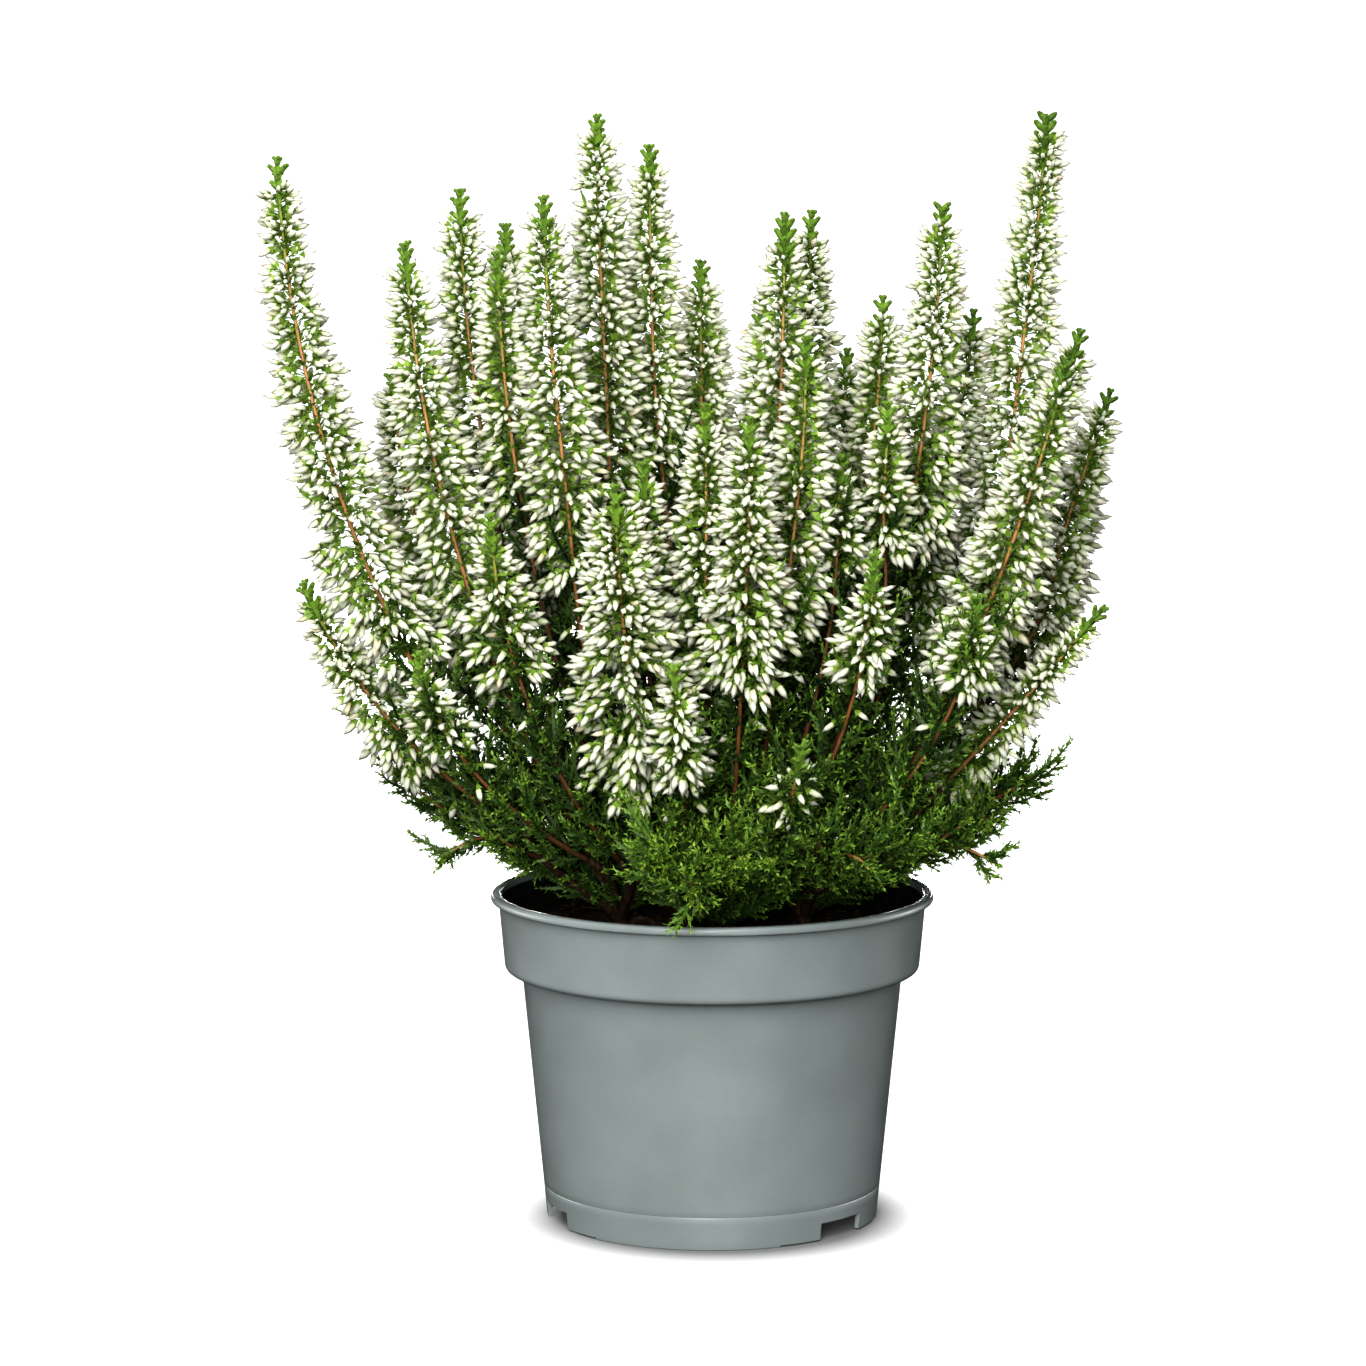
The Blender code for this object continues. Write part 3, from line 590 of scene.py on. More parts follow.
# %% The making of a finish
class Finish:
    """A Principled material that is built up from nodes."""

    def __init__(self, name, roughness, specular):
        self.material = bpy.data.materials.new(name)
        self.material.use_nodes = True
        self.tree = self.material.node_tree
        self.inputs = self.tree.nodes["Principled BSDF"].inputs
        self.inputs["Roughness"].default_value = roughness
        self.inputs["Specular IOR Level"].default_value = specular

    def node(self, kind, links, **values):
        """A node with its sockets linked, and its other sockets set by their labels."""
        made = self.tree.nodes.new(kind)
        for label, source in links.items():
            self.tree.links.new(source, made.inputs[label])
        for label, value in values.items():
            made.inputs[label.replace("_", " ")].default_value = value
        return made

    def link(self, source, label):
        self.tree.links.new(source, self.inputs[label])

    def value(self, label):
        """A value that the mesh carries on its points."""
        made = self.node("ShaderNodeAttribute", {})
        made.attribute_name = label
        return made.outputs["Fac"]

    def noise(self, scale, detail=3.0, along=1.0):
        """Noise in object space, in features per metre, drawn out along the height where along is under 1."""
        place = self.node("ShaderNodeTexCoord", {}).outputs["Object"]
        mapping = self.node("ShaderNodeMapping", {"Vector": place}, Scale=(1.0, 1.0, along))
        links = {"Vector": mapping.outputs["Vector"]}
        return self.node("ShaderNodeTexNoise", links, Scale=scale, Detail=detail).outputs["Fac"]

    def ramp(self, source, *stops):
        """Colours for a value: stops are (position, linear colour)."""
        made = self.node("ShaderNodeValToRGB", {"Fac": source})
        elements = made.color_ramp.elements
        while len(elements) < len(stops):
            elements.new(0.5)
        for element, (position, colour) in zip(elements, stops):
            element.position = position
            element.color = (*colour, 1.0)
        return made.outputs["Color"]

    def stretched(self, source, low, high, to_low=0.0, to_high=1.0):
        """A value's range from low to high, spread over another range and clamped."""
        ends = {"From_Min": low, "From_Max": high, "To_Min": to_low, "To_Max": to_high}
        return self.node("ShaderNodeMapRange", {"Value": source}, **ends).outputs["Result"]

    def colour(self, first, second=None):
        """The base colour, or two colours multiplied."""
        if second is not None:
            made = self.node("ShaderNodeMix", {})
            made.data_type = "RGBA"
            made.blend_type = "MULTIPLY"
            made.inputs[0].default_value = 1.0
            self.tree.links.new(first, made.inputs[6])
            self.tree.links.new(second, made.inputs[7])
            first = made.outputs[2]
        self.link(first, "Base Color")

    def relief(self, source, strength, distance):
        made = self.node("ShaderNodeBump", {"Height": source}, Strength=strength, Distance=distance)
        self.link(made.outputs["Normal"], "Normal")


# %% Petal, leaf, stem and bark
FINE_RELIEF = 0.2 * MM
PLAIN = (1.0, 1.0, 1.0)


def make_petal():
    """Closed buds: green-white in the cup, chalk white along the petals, with fine lengthwise folds."""
    petal = Finish("heather_petal", 0.55, 0.3)
    length = petal.ramp(
        petal.value("along"),
        (0.05, (0.310, 0.400, 0.120)),
        (0.22, (0.540, 0.590, 0.340)),
        (0.42, (0.660, 0.680, 0.540)),
        (0.90, (0.690, 0.690, 0.610)),
        (1.00, (0.640, 0.630, 0.540)),
    )
    shade = petal.ramp(
        petal.value("tone"),
        (0.00, (0.94, 0.84, 0.74)),
        (0.03, (0.98, 0.96, 0.92)),
        (0.50, PLAIN),
        (1.00, (0.93, 0.97, 0.86)),
    )
    petal.colour(length, shade)
    petal.relief(petal.noise(1800.0, 2.0, 0.4), 0.25, FINE_RELIEF)
    return petal.material


def make_leaf():
    """Leaves: the dark dull low tones used inside the bush are painted shade; yellow-green at the young tips.
    """
    leaf = Finish("heather_leaf", 0.52, 0.35)
    shade = leaf.ramp(
        leaf.value("tone"),
        # The darkest tones stand for the shade inside the bush: painted shade
        (0.00, (0.014, 0.030, 0.008)),
        (0.35, (0.066, 0.124, 0.024)),
        (0.65, (0.165, 0.270, 0.044)),
        (1.00, (0.290, 0.430, 0.065)),
    )
    leaf.colour(shade, leaf.ramp(leaf.noise(160.0), (0.3, (0.82, 0.86, 0.80)), (0.7, PLAIN)))
    return leaf.material


def make_stem():
    """Young stems: brown at the foot, orange-brown among the buds, green under the tip."""
    stem = Finish("heather_stem", 0.6, 0.3)
    shade = stem.ramp(
        stem.value("tone"),
        (0.0, (0.050, 0.026, 0.014)),
        (0.4, (0.310, 0.150, 0.062)),
        (0.7, (0.540, 0.290, 0.130)),
        (1.0, (0.200, 0.340, 0.050)),
    )
    grain = stem.noise(900.0, 3.0, 0.25)
    stem.colour(shade, stem.ramp(grain, (0.3, (0.70, 0.66, 0.62)), (0.7, PLAIN)))
    stem.relief(stem.noise(1200.0, 2.0, 0.25), 0.4, FINE_RELIEF)
    return stem.material


def make_bark():
    """Old wood: grey-brown, with cracks that run along it."""
    bark = Finish("heather_bark", 0.85, 0.25)
    cracks = bark.noise(700.0, 5.0, 0.2)
    dark, brown, pale = (0.015, 0.008, 0.005), (0.060, 0.032, 0.018), (0.120, 0.070, 0.042)
    bark.colour(bark.ramp(cracks, (0.3, dark), (0.5, brown), (0.75, pale)))
    bark.relief(cracks, 0.8, 0.0006)
    return bark.material


PETAL = make_petal()
LEAF_GREEN = make_leaf()
STEM_BROWN = make_stem()
BARK = make_bark()
# A green piece wears both, and is shaded smooth on its stems alone
GREENERY = ([STEM_BROWN, LEAF_GREEN], (STEM_KIND,))
print("plant finishes:", PETAL.name, LEAF_GREEN.name, STEM_BROWN.name, BARK.name)


# %% Pot plastic and peat
def make_plastic():
    """Recycled grey-green plastic: satin, faintly clouded, with fine paler and darker specks."""
    plastic = Finish("pot_plastic", 0.38, 0.45)
    grey, paler = (0.236, 0.268, 0.262), (0.266, 0.301, 0.296)
    clouds = plastic.ramp(plastic.noise(38.0, 4.0), (0.35, grey), (0.65, paler))
    specks = plastic.ramp(
        plastic.noise(1500.0, 1.0),
        (0.28, (0.93, 0.93, 0.93)),
        (0.36, PLAIN),
        (0.70, PLAIN),
        (0.78, (1.05, 1.05, 1.04)),
    )
    plastic.colour(clouds, specks)
    plastic.link(plastic.stretched(plastic.noise(90.0), 0.3, 0.7, 0.33, 0.43), "Roughness")
    plastic.relief(plastic.noise(2600.0, 2.0), 0.06, FINE_RELIEF)
    return plastic.material


def make_shaded_stained():
    """The inside of the pot above the peat: the same plastic, mostly painted shade under the leaves, with
    splashes of peat stain.
    """
    shaded_stained = Finish("shaded_stained_plastic", 0.7, 0.3)
    # These tones are mostly painted shade, far darker than the plastic, with real peat stains among them
    wet_stain_in_shade, damp_stain_in_shade, bare_in_shade = (0.007, 0.006, 0.005), (0.022, 0.020, 0.016), (0.075, 0.082, 0.078)
    shaded_stained.colour(shaded_stained.ramp(shaded_stained.noise(240.0, 5.0), (0.35, wet_stain_in_shade), (0.62, damp_stain_in_shade), (0.80, bare_in_shade)))
    shaded_stained.relief(shaded_stained.noise(900.0), 0.3, 0.0003)
    return shaded_stained.material


def make_peat():
    """Moist peat: almost black, with brown crumbs."""
    peat = Finish("peat", 0.92, 0.3)
    crumbs = peat.noise(420.0, 6.0)
    black, brown, dry = (0.014, 0.010, 0.007), (0.046, 0.029, 0.019), (0.130, 0.078, 0.046)
    peat.colour(peat.ramp(crumbs, (0.35, black), (0.55, brown), (0.75, dry)))
    peat.relief(crumbs, 1.0, 0.0012)
    return peat.material


def make_fibre():
    """Pale root fibres and bits of straw in the peat."""
    fibre = Finish("peat_fibre", 0.8, 0.3)
    fibre.colour(fibre.ramp(fibre.noise(300.0), (0.3, (0.050, 0.028, 0.016)), (0.7, (0.200, 0.120, 0.065))))
    return fibre.material


PLASTIC = make_plastic()
SHADED_STAINED = make_shaded_stained()
PEAT = make_peat()
FIBRE = make_fibre()
print("pot finishes:", PLASTIC.name, SHADED_STAINED.name, PEAT.name, FIBRE.name)


# %% Hand a piece to the frame
piece_count = {}


def hand_over(piece, slot, *nodes):
    """The piece rides on the one body and stands for the CAD nodes. slot is not used."""
    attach(piece, "root")
    if nodes:
        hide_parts(*nodes)
    piece_count[piece.name] = len(piece.data.polygons)


# %% [markdown]
# ## The flower spikes
#
# On a heather spike short side twigs leave the stem all round, each a golden angle from the last. Near the
# top they hold one or two buds; low down they are long enough for six or seven, and some end in a green tip
# of their own. The buds hang a little low down and look up near the top. So the side twigs are laid out
# first, then buds along them: scattering buds over a surface would lose the little whorls.

# %% Sizes of the flowers
BUD_LENGTH = 4.9
BUD_SLIMNESS = 0.43
CUP_LENGTH = 1.9
# Side twigs and buds per millimetre of twig, where the bloom reaches this far and where it is full
REACHES = (4.6, 11.0)
TWIG_PITCH = (0.85, 1.0)
BUD_DENSITY = (4.2, 7.2)
STEM_BUD_PITCH = 2.2
STRAY_PITCH = 4.0
GREEN_TIP_EVERY = 9
BRACT_PITCH = 0.40
# How far the buds stand out from the foot of the bloom to its top, as shares of the widest reach
BLOOM_SHAPE = ((0.0, 0.22, 0.50, 0.70, 0.85, 1.0), (1.02, 1.06, 0.92, 0.76, 0.62, 0.50))
# Buds shorten towards the top, hang at the foot of the bloom and look up at its top
BUD_SHAPE = ((0.0, 0.6, 1.0), (1.0, 0.94, 0.78))
BUD_DROOP = ((0.0, 0.3, 0.8, 1.0), (-0.80, -0.22, 0.12, 0.45))
# Buds stand on the outer share of their twig, on stalks of this length
BUD_SPREAD = 0.62
STALK = 0.9
# A bud reaches past its twig by a share of its own length, and the lower buds of a twig fan out more
BUD_OVERHANG = 0.92
BUD_FAN = (0.20, 0.50)
BUD_SIZES = (0.84, 1.12)
# Side twigs stand up at this angle in degrees, and lean out where the bloom reaches far
TWIG_LIFT = 52
TWIG_FALL = 3.0
TWIG_SIZES = (0.75, 1.15)
CLOSE_TWIG_SIZES = (0.6, 2.2)
# The flowers turn aside at the front of a spike, so a share of the twigs is missing there and the stem shows
FRONT = 0.80
FRONT_KEPT = (0.30, 0.75)
print("a bud, mm:", BUD_LENGTH, "by", round(BUD_SLIMNESS * BUD_LENGTH, 1), "on a cup of", CUP_LENGTH)


def kept_in_front(rows, kept, draw):
    """The rows that stay: all round the stem, but only a share of those whose outward direction faces us."""
    outward = rows[-1]
    stay = (-outward[:, 1] < FRONT) | (draw.uniform(0, 1, len(outward)) < kept)
    return [values[stay] for values in rows]


# %% Side twigs in the flower zone
def flowering_twigs(stem, start, end, reach_at, crowd, kept, draw):
    """The side twigs of the flower zone, and how many buds each carries."""
    lengths = []
    here = start
    while here < end:
        lengths.append(here)
        here += float(np.interp(reach_at(here), REACHES, TWIG_PITCH))
    rows = (np.array(lengths), *stem.spiral(lengths, 0.25, draw))
    lengths, places, headings, outward = kept_in_front(rows, kept, draw)
    reach = reach_at(lengths)
    share = (lengths - start) / (end - start)
    bud = BUD_LENGTH * np.interp(share, *BUD_SHAPE)
    size = np.clip(reach - BUD_OVERHANG * bud, 0.6, None) * draw.uniform(*TWIG_SIZES, len(lengths))
    lift = np.radians(TWIG_LIFT - TWIG_FALL * (reach - REACHES[0]))
    per_twig = crowd * np.interp(reach, REACHES, BUD_DENSITY) * np.interp(reach, REACHES, TWIG_PITCH)
    buds = np.maximum(1, np.floor(per_twig + draw.uniform(0, 1, len(lengths)))).astype(int)
    bends = 0.9 * outward - headings
    twigs = Twigs(places, around(lift, outward, headings), bends, size, np.full(len(lengths), 0.50))
    return twigs, buds, share, outward, headings


# %% Buds close to the stem
def close_buds(stem, start, end, pitch, kept, draw):
    """Very short side twigs of one bud each, which half hide the stem."""
    lengths = np.arange(start, end, pitch)
    lengths = lengths + draw.normal(0, 0.3, len(lengths))
    rows = (lengths, *stem.spiral(lengths, 0.3, draw, 0.7))
    lengths, places, headings, outward = kept_in_front(rows, kept, draw)
    way = outward + 0.6 * headings
    size = draw.uniform(*CLOSE_TWIG_SIZES, len(lengths)) * min(4.0, pitch / STEM_BUD_PITCH)
    twigs = Twigs(places, way, 0.0 * way, size, np.full(len(lengths), 0.6))
    return twigs, np.ones(len(lengths), int), (lengths - start) / (end - start), outward, headings


trial = close_buds(first_stem, 60.0, 100.0, STEM_BUD_PITCH, 1.0, np.random.default_rng(SEED))
print("close buds on 40 mm of stem:", len(trial[1]))


# %% Buds and their cups
def set_buds(flowers, green, twigs, buds, share, outward, headings, draw):
    """Sets the buds of every side twig, each on its green cup."""
    owners = np.repeat(np.arange(len(buds)), buds)
    count = len(owners)
    order = np.arange(count) - np.repeat(np.cumsum(buds) - buds, buds)
    t = np.clip(1.0 - BUD_SPREAD * order / buds[owners] + draw.normal(0, 0.04, count), 0.05, 1.0)
    places, _, sides, across = twigs.at(owners, t)
    aside = around(GOLDEN * order + 2.0 * owners + draw.normal(0, 0.3, count), sides, across)
    places = places + np.where(order == 0, 0.0, STALK)[:, None] * aside
    droop = np.interp(share[owners], *BUD_DROOP) + draw.normal(0, 0.16, count)
    fan = np.where(order == 0, *BUD_FAN)[:, None]
    axes = unit(outward[owners] + fan * aside + droop[:, None] * headings[owners])
    size = BUD_LENGTH * np.interp(share[owners], *BUD_SHAPE) * draw.uniform(*BUD_SIZES, count)
    wide = BUD_SLIMNESS * size * draw.uniform(0.92, 1.12, count)
    turn = draw.uniform(0, 2 * math.pi, count)
    flat = unit(np.cross(axes, headings[owners] + 0.3 * outward[owners]))
    flat = around(turn, flat, np.cross(axes, flat))
    cup = CUP_LENGTH * draw.uniform(0.8, 1.15, count)
    base = places + (0.52 * cup)[:, None] * axes
    heights = BUD[0][:, 2]
    tones = np.repeat(draw.uniform(0, 1, count), len(heights))
    flowers.add(copies(BUD, base, axes, flat, size, wide), 0, tones, np.tile(heights, count))
    tones = np.clip(0.78 + draw.normal(0, 0.09, count), 0.45, 1.0)
    green.add_copies(CUP, LEAF_KIND, tones, places, axes, flat, cup, 1.05 * wide)


# %% The green shoot at a spike's tip
LOBE_GAP = 2.3
LOBE_SHAPE = ((0.2, 0.6, 1.0), (2.9, 3.2, 2.0))
LOBE_WIDTH = 1.55
LOBE_LEANS = (34, 50)
SMALL_LOBE = (1.5, 1.15)
# Lobes grow with the shoot where it is longer than this
PLAIN_TIP = 9.5


def tip_lobes(stem, size, draw):
    """A fleshy stalk with crossed pairs of side lobes, each ending in a small pair of its own."""
    pairs = max(3, round(size / LOBE_GAP))
    count = 2 * pairs
    height = np.repeat(size * (0.25 + 0.62 * np.arange(pairs) / (pairs - 1)), 2)
    turn = 0.5 * math.pi * np.repeat(np.arange(pairs), 2) + math.pi * (np.arange(count) % 2)
    turn = turn + draw.normal(0, 0.15, count)
    places, headings, outward = stem.round(stem.length - size + height, turn)
    ways = around(np.radians(draw.uniform(*LOBE_LEANS, count)), headings, outward)
    grown = max(1.0, size / PLAIN_TIP)
    lengths = grown * np.interp(height / size, *LOBE_SHAPE) * draw.uniform(0.9, 1.15, count)
    ends = places + 0.72 * lengths[:, None] * ways
    sides = unit(np.cross(ways, headings))
    top, way, _ = stem.round(np.array([stem.length - size - 1.0]), np.zeros(1))
    groups = [
        (top, way, np.array([size + 1.0]), np.array([2.0])),
        (places, ways, lengths, np.full(count, LOBE_WIDTH * math.sqrt(grown))),
    ]
    for side in (-0.75, 0.75):
        small = (np.full(count, value) for value in SMALL_LOBE)
        groups.append((ends, unit(ways + side * sides), *small))
    return [np.concatenate(parts) for parts in zip(*groups)]


trial = tip_lobes(first_stem, PLAIN_TIP, np.random.default_rng(SEED))
print("lobes on a plain tip:", len(trial[2]))

# %% [markdown]
# ## Leafy growth under the flowers
#
# Below the buds each stem wears side twigs like small fir sprigs: twigs up the stem, shoots along each twig,
# and pairs of short leaves along each shoot. Three levels of the same rule give the feathery look, where one
# level alone would look like a bottle brush.

# %% Feathery twigs
LEAF_LENGTH = 2.1
LEAF_GAP = 0.92
SHORT_SHOOTS = dict(
    pitch=1.9, span=(0.12, 0.93), sizes=(4.8, 1.8), spread=(0.75, 1.15), lean=0.75, brighten=0.30, wobble=0.3
)
# Twigs of this length carry full-sized shoots
FULL_TWIG = 12.0
TWIG_LEAN = 0.72


def feather(green, twigs, draw):
    """Adds twigs, their shoots and all their leaves to the growth."""
    shoots, owners = twigs.shoots(draw, **SHORT_SHOOTS)
    shoots.lengths = shoots.lengths * np.clip(twigs.lengths[owners] / FULL_TWIG, 0.5, 1.2)
    green.add_cores(twigs, (0.3, 0.7), (0.50, 0.46), -0.1)
    green.add_cores(shoots, (0.45,), (0.62,))
    clothe(green, twigs, LEAF_GAP, LEAF_LENGTH, 1.0, 0.4, draw)
    clothe(green, shoots, LEAF_GAP, LEAF_LENGTH, 1.0, 0.45, draw)


def leafy_twigs(stem, start, end, pitch, size, tone, draw):
    """Side twigs between two lengths of a stem, each a golden angle from the last."""
    lengths = np.arange(start, end, pitch)
    places, headings, outward = stem.spiral(lengths, 0.3, draw)
    bends = np.tile((0.0, 0.0, 0.85), (len(lengths), 1))
    sizes = size * draw.uniform(0.75, 1.2, len(lengths))
    tones = tone + draw.normal(0, 0.06, len(lengths))
    return Twigs(places, around(TWIG_LEAN, headings, outward), bends, sizes, tones)


# %% Grow one spike
# Stems inside the bush get little light, so their buds begin higher up, and their leaves get a darker tone:
# painted shade
INNER_RADIUS = 62.0
INNER_FRONT = -40.0
INNER_RISE = 20.0
# The tips of the spikes to the right of this get less light, so their green is painted darker: painted shade
SHADED_RIGHT = 62.0
# How much fuller than the others a spike is, and how long its green tip, by its place in the rows
FULLER = {35: 1.6, 27: 1.2, 26: 1.1, 36: 0.9, 34: 0.3, 38: 0.6}
TIP_SIZES = {22: 15.0, 14: 13.0, 20: 11.0, 24: 11.0, 36: 5.0}
# How much higher up than on its plain solid the first buds of a spike sit
BLOOM_RISE = {7: 8.0, 36: 4.0, 37: 12.0, 27: 8.0, 31: 8.0, 32: 8.0, 23: 6.0, 24: 8.0}
SPIKE_RADII = ((0, 0.4, 1), (0.95, 0.60, 0.42))
SPIKE_SHADES = (0.05, 0.45, 0.68, 0.74, 0.98)
# Length of the leafy twigs under the flowers, and their pitch and tone inside the bush and outside; the
# darker inner tone is painted shade
LEAFY_TWIG = 15.0
INNER_TWIGS = (3.2, 0.16)
OUTER_TWIGS = (2.3, 0.30)
BRACT_SIZES = (1.8, 3.6)
# Only twigs longer than this end in a green tip
LONG_TWIG = 3.2


def add_bracts(green, stem, start, end, kept, draw):
    """Small leaves close to the stem between the buds."""
    lengths = np.arange(start, end, BRACT_PITCH)
    rows = stem.round(lengths, GOLDEN * np.arange(len(lengths)) + 1.0)
    places, way, out = kept_in_front(rows, kept, draw)
    axes = unit(way + draw.uniform(0.4, 1.6, len(out))[:, None] * out)
    size = draw.uniform(*BRACT_SIZES, len(out))
    tones = draw.uniform(0.30, 0.95, len(out))
    flat = unit(np.cross(axes, out))
    green.add_copies(LEAF, LEAF_KIND, tones, places, axes, flat, size, LEAF_SLIMNESS * size)


def add_green_tips(green, twigs, outward, headings, which, draw):
    """The green shoots that end some of the longer flowering twigs."""
    long = np.flatnonzero((twigs.lengths > LONG_TWIG) & (np.arange(len(outward)) % GREEN_TIP_EVERY == which))
    if not len(long):
        return
    spots = twigs.at(long, np.ones(len(long)))[0]
    up = unit(0.6 * outward[long] + 0.9 * headings[long])
    sizes = draw.uniform(4.0, 6.0, len(long))
    sprigs = Twigs(spots, up, 0.3 * headings[long], sizes, np.full(len(long), 0.6))
    green.add_cores(sprigs, (0.5,), (0.6,))
    clothe(green, sprigs, 0.6, 1.7, 0.55, 0.3, draw)


def grow_spike(index):
    """The buds of a spike as one piece and all its green growth as another."""
    draw = np.random.default_rng(SEED + index)
    name = f"spike_{index + 1:02d}"
    stem = Stem(stem_paths[index])
    x, y, _, bloom_z, widest, _ = SPIKES[index]
    inner = math.hypot(x, y + 10) < INNER_RADIUS and y > INNER_FRONT
    rise = INNER_RISE if inner else BLOOM_RISE.get(index, 0.0)
    start = float(np.interp(bloom_z + rise, stem.points[:, 2], stem.run))
    end = stem.length - TIP_LENGTH + 0.6
    foot = start - 2.0

    fuller = FULLER.get(index, 1.0)
    kept = draw.uniform(*FRONT_KEPT) if fuller == 1.0 else 1.0
    widest = widest * math.sqrt(max(1.0, fuller))

    def reach_at(length):
        return widest * np.interp((length - start) / (end - start), *BLOOM_SHAPE)

    flowers = Growth()
    green = Growth()
    shade_at = np.array((0, start, 0.5 * (start + end), 0.85 * end, end)) / stem.length
    green.add_stem(stem, 2.0, SPIKE_RADII, (shade_at, SPIKE_SHADES))
    twigs, buds, share, outward, headings = flowering_twigs(stem, foot, end, reach_at, fuller, kept, draw)
    set_buds(flowers, green, twigs, buds, share, outward, headings, draw)
    green.add_cores(twigs, (0.5,), (0.30,))
    clothe(green, twigs, 3.4, 2.0, 0.9, 0.7, draw, 0.0, 0.1)
    for low, high, pitch in ((foot, end, STEM_BUD_PITCH / fuller), (start - 16.0, start, STRAY_PITCH)):
        set_buds(flowers, green, *close_buds(stem, low, high, pitch, kept, draw), draw)
    add_bracts(green, stem, foot, end, kept, draw)
    add_green_tips(green, twigs, outward, headings, index % 4, draw)

    places, ways, lengths, thick = tip_lobes(stem, TIP_SIZES.get(index, PLAIN_TIP), draw)
    # Tips to the right of SHADED_RIGHT get a darker tone: painted shade
    tip_tone = 0.66 if x < SHADED_RIGHT else 0.54
    tones = np.clip(tip_tone + draw.normal(0, 0.06, len(ways)), 0.40, 0.9)
    sides = unit(np.cross(ways, (0.2, 1.0, 0.3)))
    green.add_copies(LOBE, LEAF_KIND, tones, places, ways, sides, lengths, thick)

    pitch, tone = INNER_TWIGS if inner else OUTER_TWIGS
    feather(green, leafy_twigs(stem, 2.0, start + 8.0, pitch, LEAFY_TWIG, tone, draw), draw)
    hand_over(flowers.make(f"{name}_buds", [PETAL], (0,)), "flower_spike", name)
    hand_over(green.make(f"{name}_green", *GREENERY), "leafy_spray")


for index in range(len(SPIKES)):
    grow_spike(index)
print("spike pieces:", len(piece_count), "triangles:", sum(piece_count.values()))

# %% [markdown]
# ## The low green sprays
#
# Eight flowerless branches fill the foot of the bush and hang a little over the rim. Each is a main twig
# with four side branches, all feathered by the same rule as the stems above.

# %% Side branches of a spray
# Where a branch leaves the spray, its share of the spray's reach, its turn aside in degrees and its lift
BRANCHES = ((0.20, 0.62, 24.0, 9.0), (0.28, 0.60, -24.0, 12.0))
WIDE_BRANCHES = ((0.16, 0.66, 40.0, 9.0), (0.14, 0.66, -40.0, 8.0))
CLOSE_BRANCHES = ((0.40, 0.45, 40.0, 6.0), (0.36, 0.48, -40.0, 4.0))


def side_path(path, start, share, turn, lift):
    """The path of a branch that leaves a spray's axis at a share of its length, turned aside and upwards."""
    origin = between(np.array([start * (len(path) - 1)]), np.arange(len(path)), path)[0]
    x, y, z = (path[-1] - path[0]) * share
    cos = math.cos(math.radians(turn))
    sin = math.sin(math.radians(turn))
    end = origin + np.array((x * cos - y * sin, x * sin + y * cos, 0.4 * z + lift))
    return bowed(origin, end, 0.5, len(path))


trial = Stem(side_path(stem_paths[-1], *BRANCHES[0]))
print("a side branch, mm:", round(trial.length, 1))


# %% Grow one spray
# The spray that hangs over the rim in front is the fullest and gets the most light; its paler tone is painted
# light
FRONT_SPRAY = 0
SPRAY_RADII = ((0, 1), (0.85, 0.35))
SPRAY_SHADES = ((0, 0.7, 1), (0.05, 0.35, 0.9))
# Pitch, length and tone of the twigs; the front spray's paler tone is painted light
SPRAY_TWIGS = (2.0, 12.5, 0.36)
FRONT_TWIGS = (1.3, 14.0, 0.48)


def grow_spray(index):
    """A spray and its branches as one piece."""
    draw = np.random.default_rng(SEED + 100 + index)
    name = f"spray_{index + 1:02d}"
    path = stem_paths[len(SPIKES) + index]
    in_front = index == FRONT_SPRAY
    pitch, size, tone = FRONT_TWIGS if in_front else SPRAY_TWIGS
    green = Growth()
    branches = BRANCHES + (CLOSE_BRANCHES if in_front else WIDE_BRANCHES)
    for axis in (path, *(side_path(path, *branch) for branch in branches)):
        stem = Stem(axis)
        green.add_stem(stem, 1.0, SPRAY_RADII, SPRAY_SHADES)
        feather(green, leafy_twigs(stem, 3.0, stem.length - 3.0, pitch, size, tone, draw), draw)
        places, way, _ = stem.round(np.array([stem.length - 6.0]), np.zeros(1))
        feather(green, Twigs(places, way, 0.0 * way, np.array([7.0]), np.array([0.6])), draw)
    hand_over(green.make(f"{name}_green", *GREENERY), "leafy_spray", name)


for index in range(len(SPRAYS)):
    grow_spray(index)
print("pieces so far:", len(piece_count), "triangles:", sum(piece_count.values()))

# %% [markdown]
# ## Rootstocks
#
# Five rooted cuttings stand in the pot. Only glimpses of their wood show through the leaves, but from low
# down and from the back they carry the whole plant, so each gets a knobbly trunk and smooth curved branches.

# %% Rootstocks
ROOTS = {
    "rootstock_centre": (0.0, 3.0),
    "rootstock_left": (-25.0, -3.0),
    "rootstock_right": (25.0, -1.0),
    "rootstock_front": (1.0, -25.0),
    "rootstock_back": (-2.0, 28.0),
}
TRUNK_FOOT_Z = 70.0
FORK_Z = 83.0
TRUNK_RADII = ((0, 0.6, 1), (2.9, 2.2, 1.2))
BRANCH_RADII = ((0, 1), (1.4, 0.98))


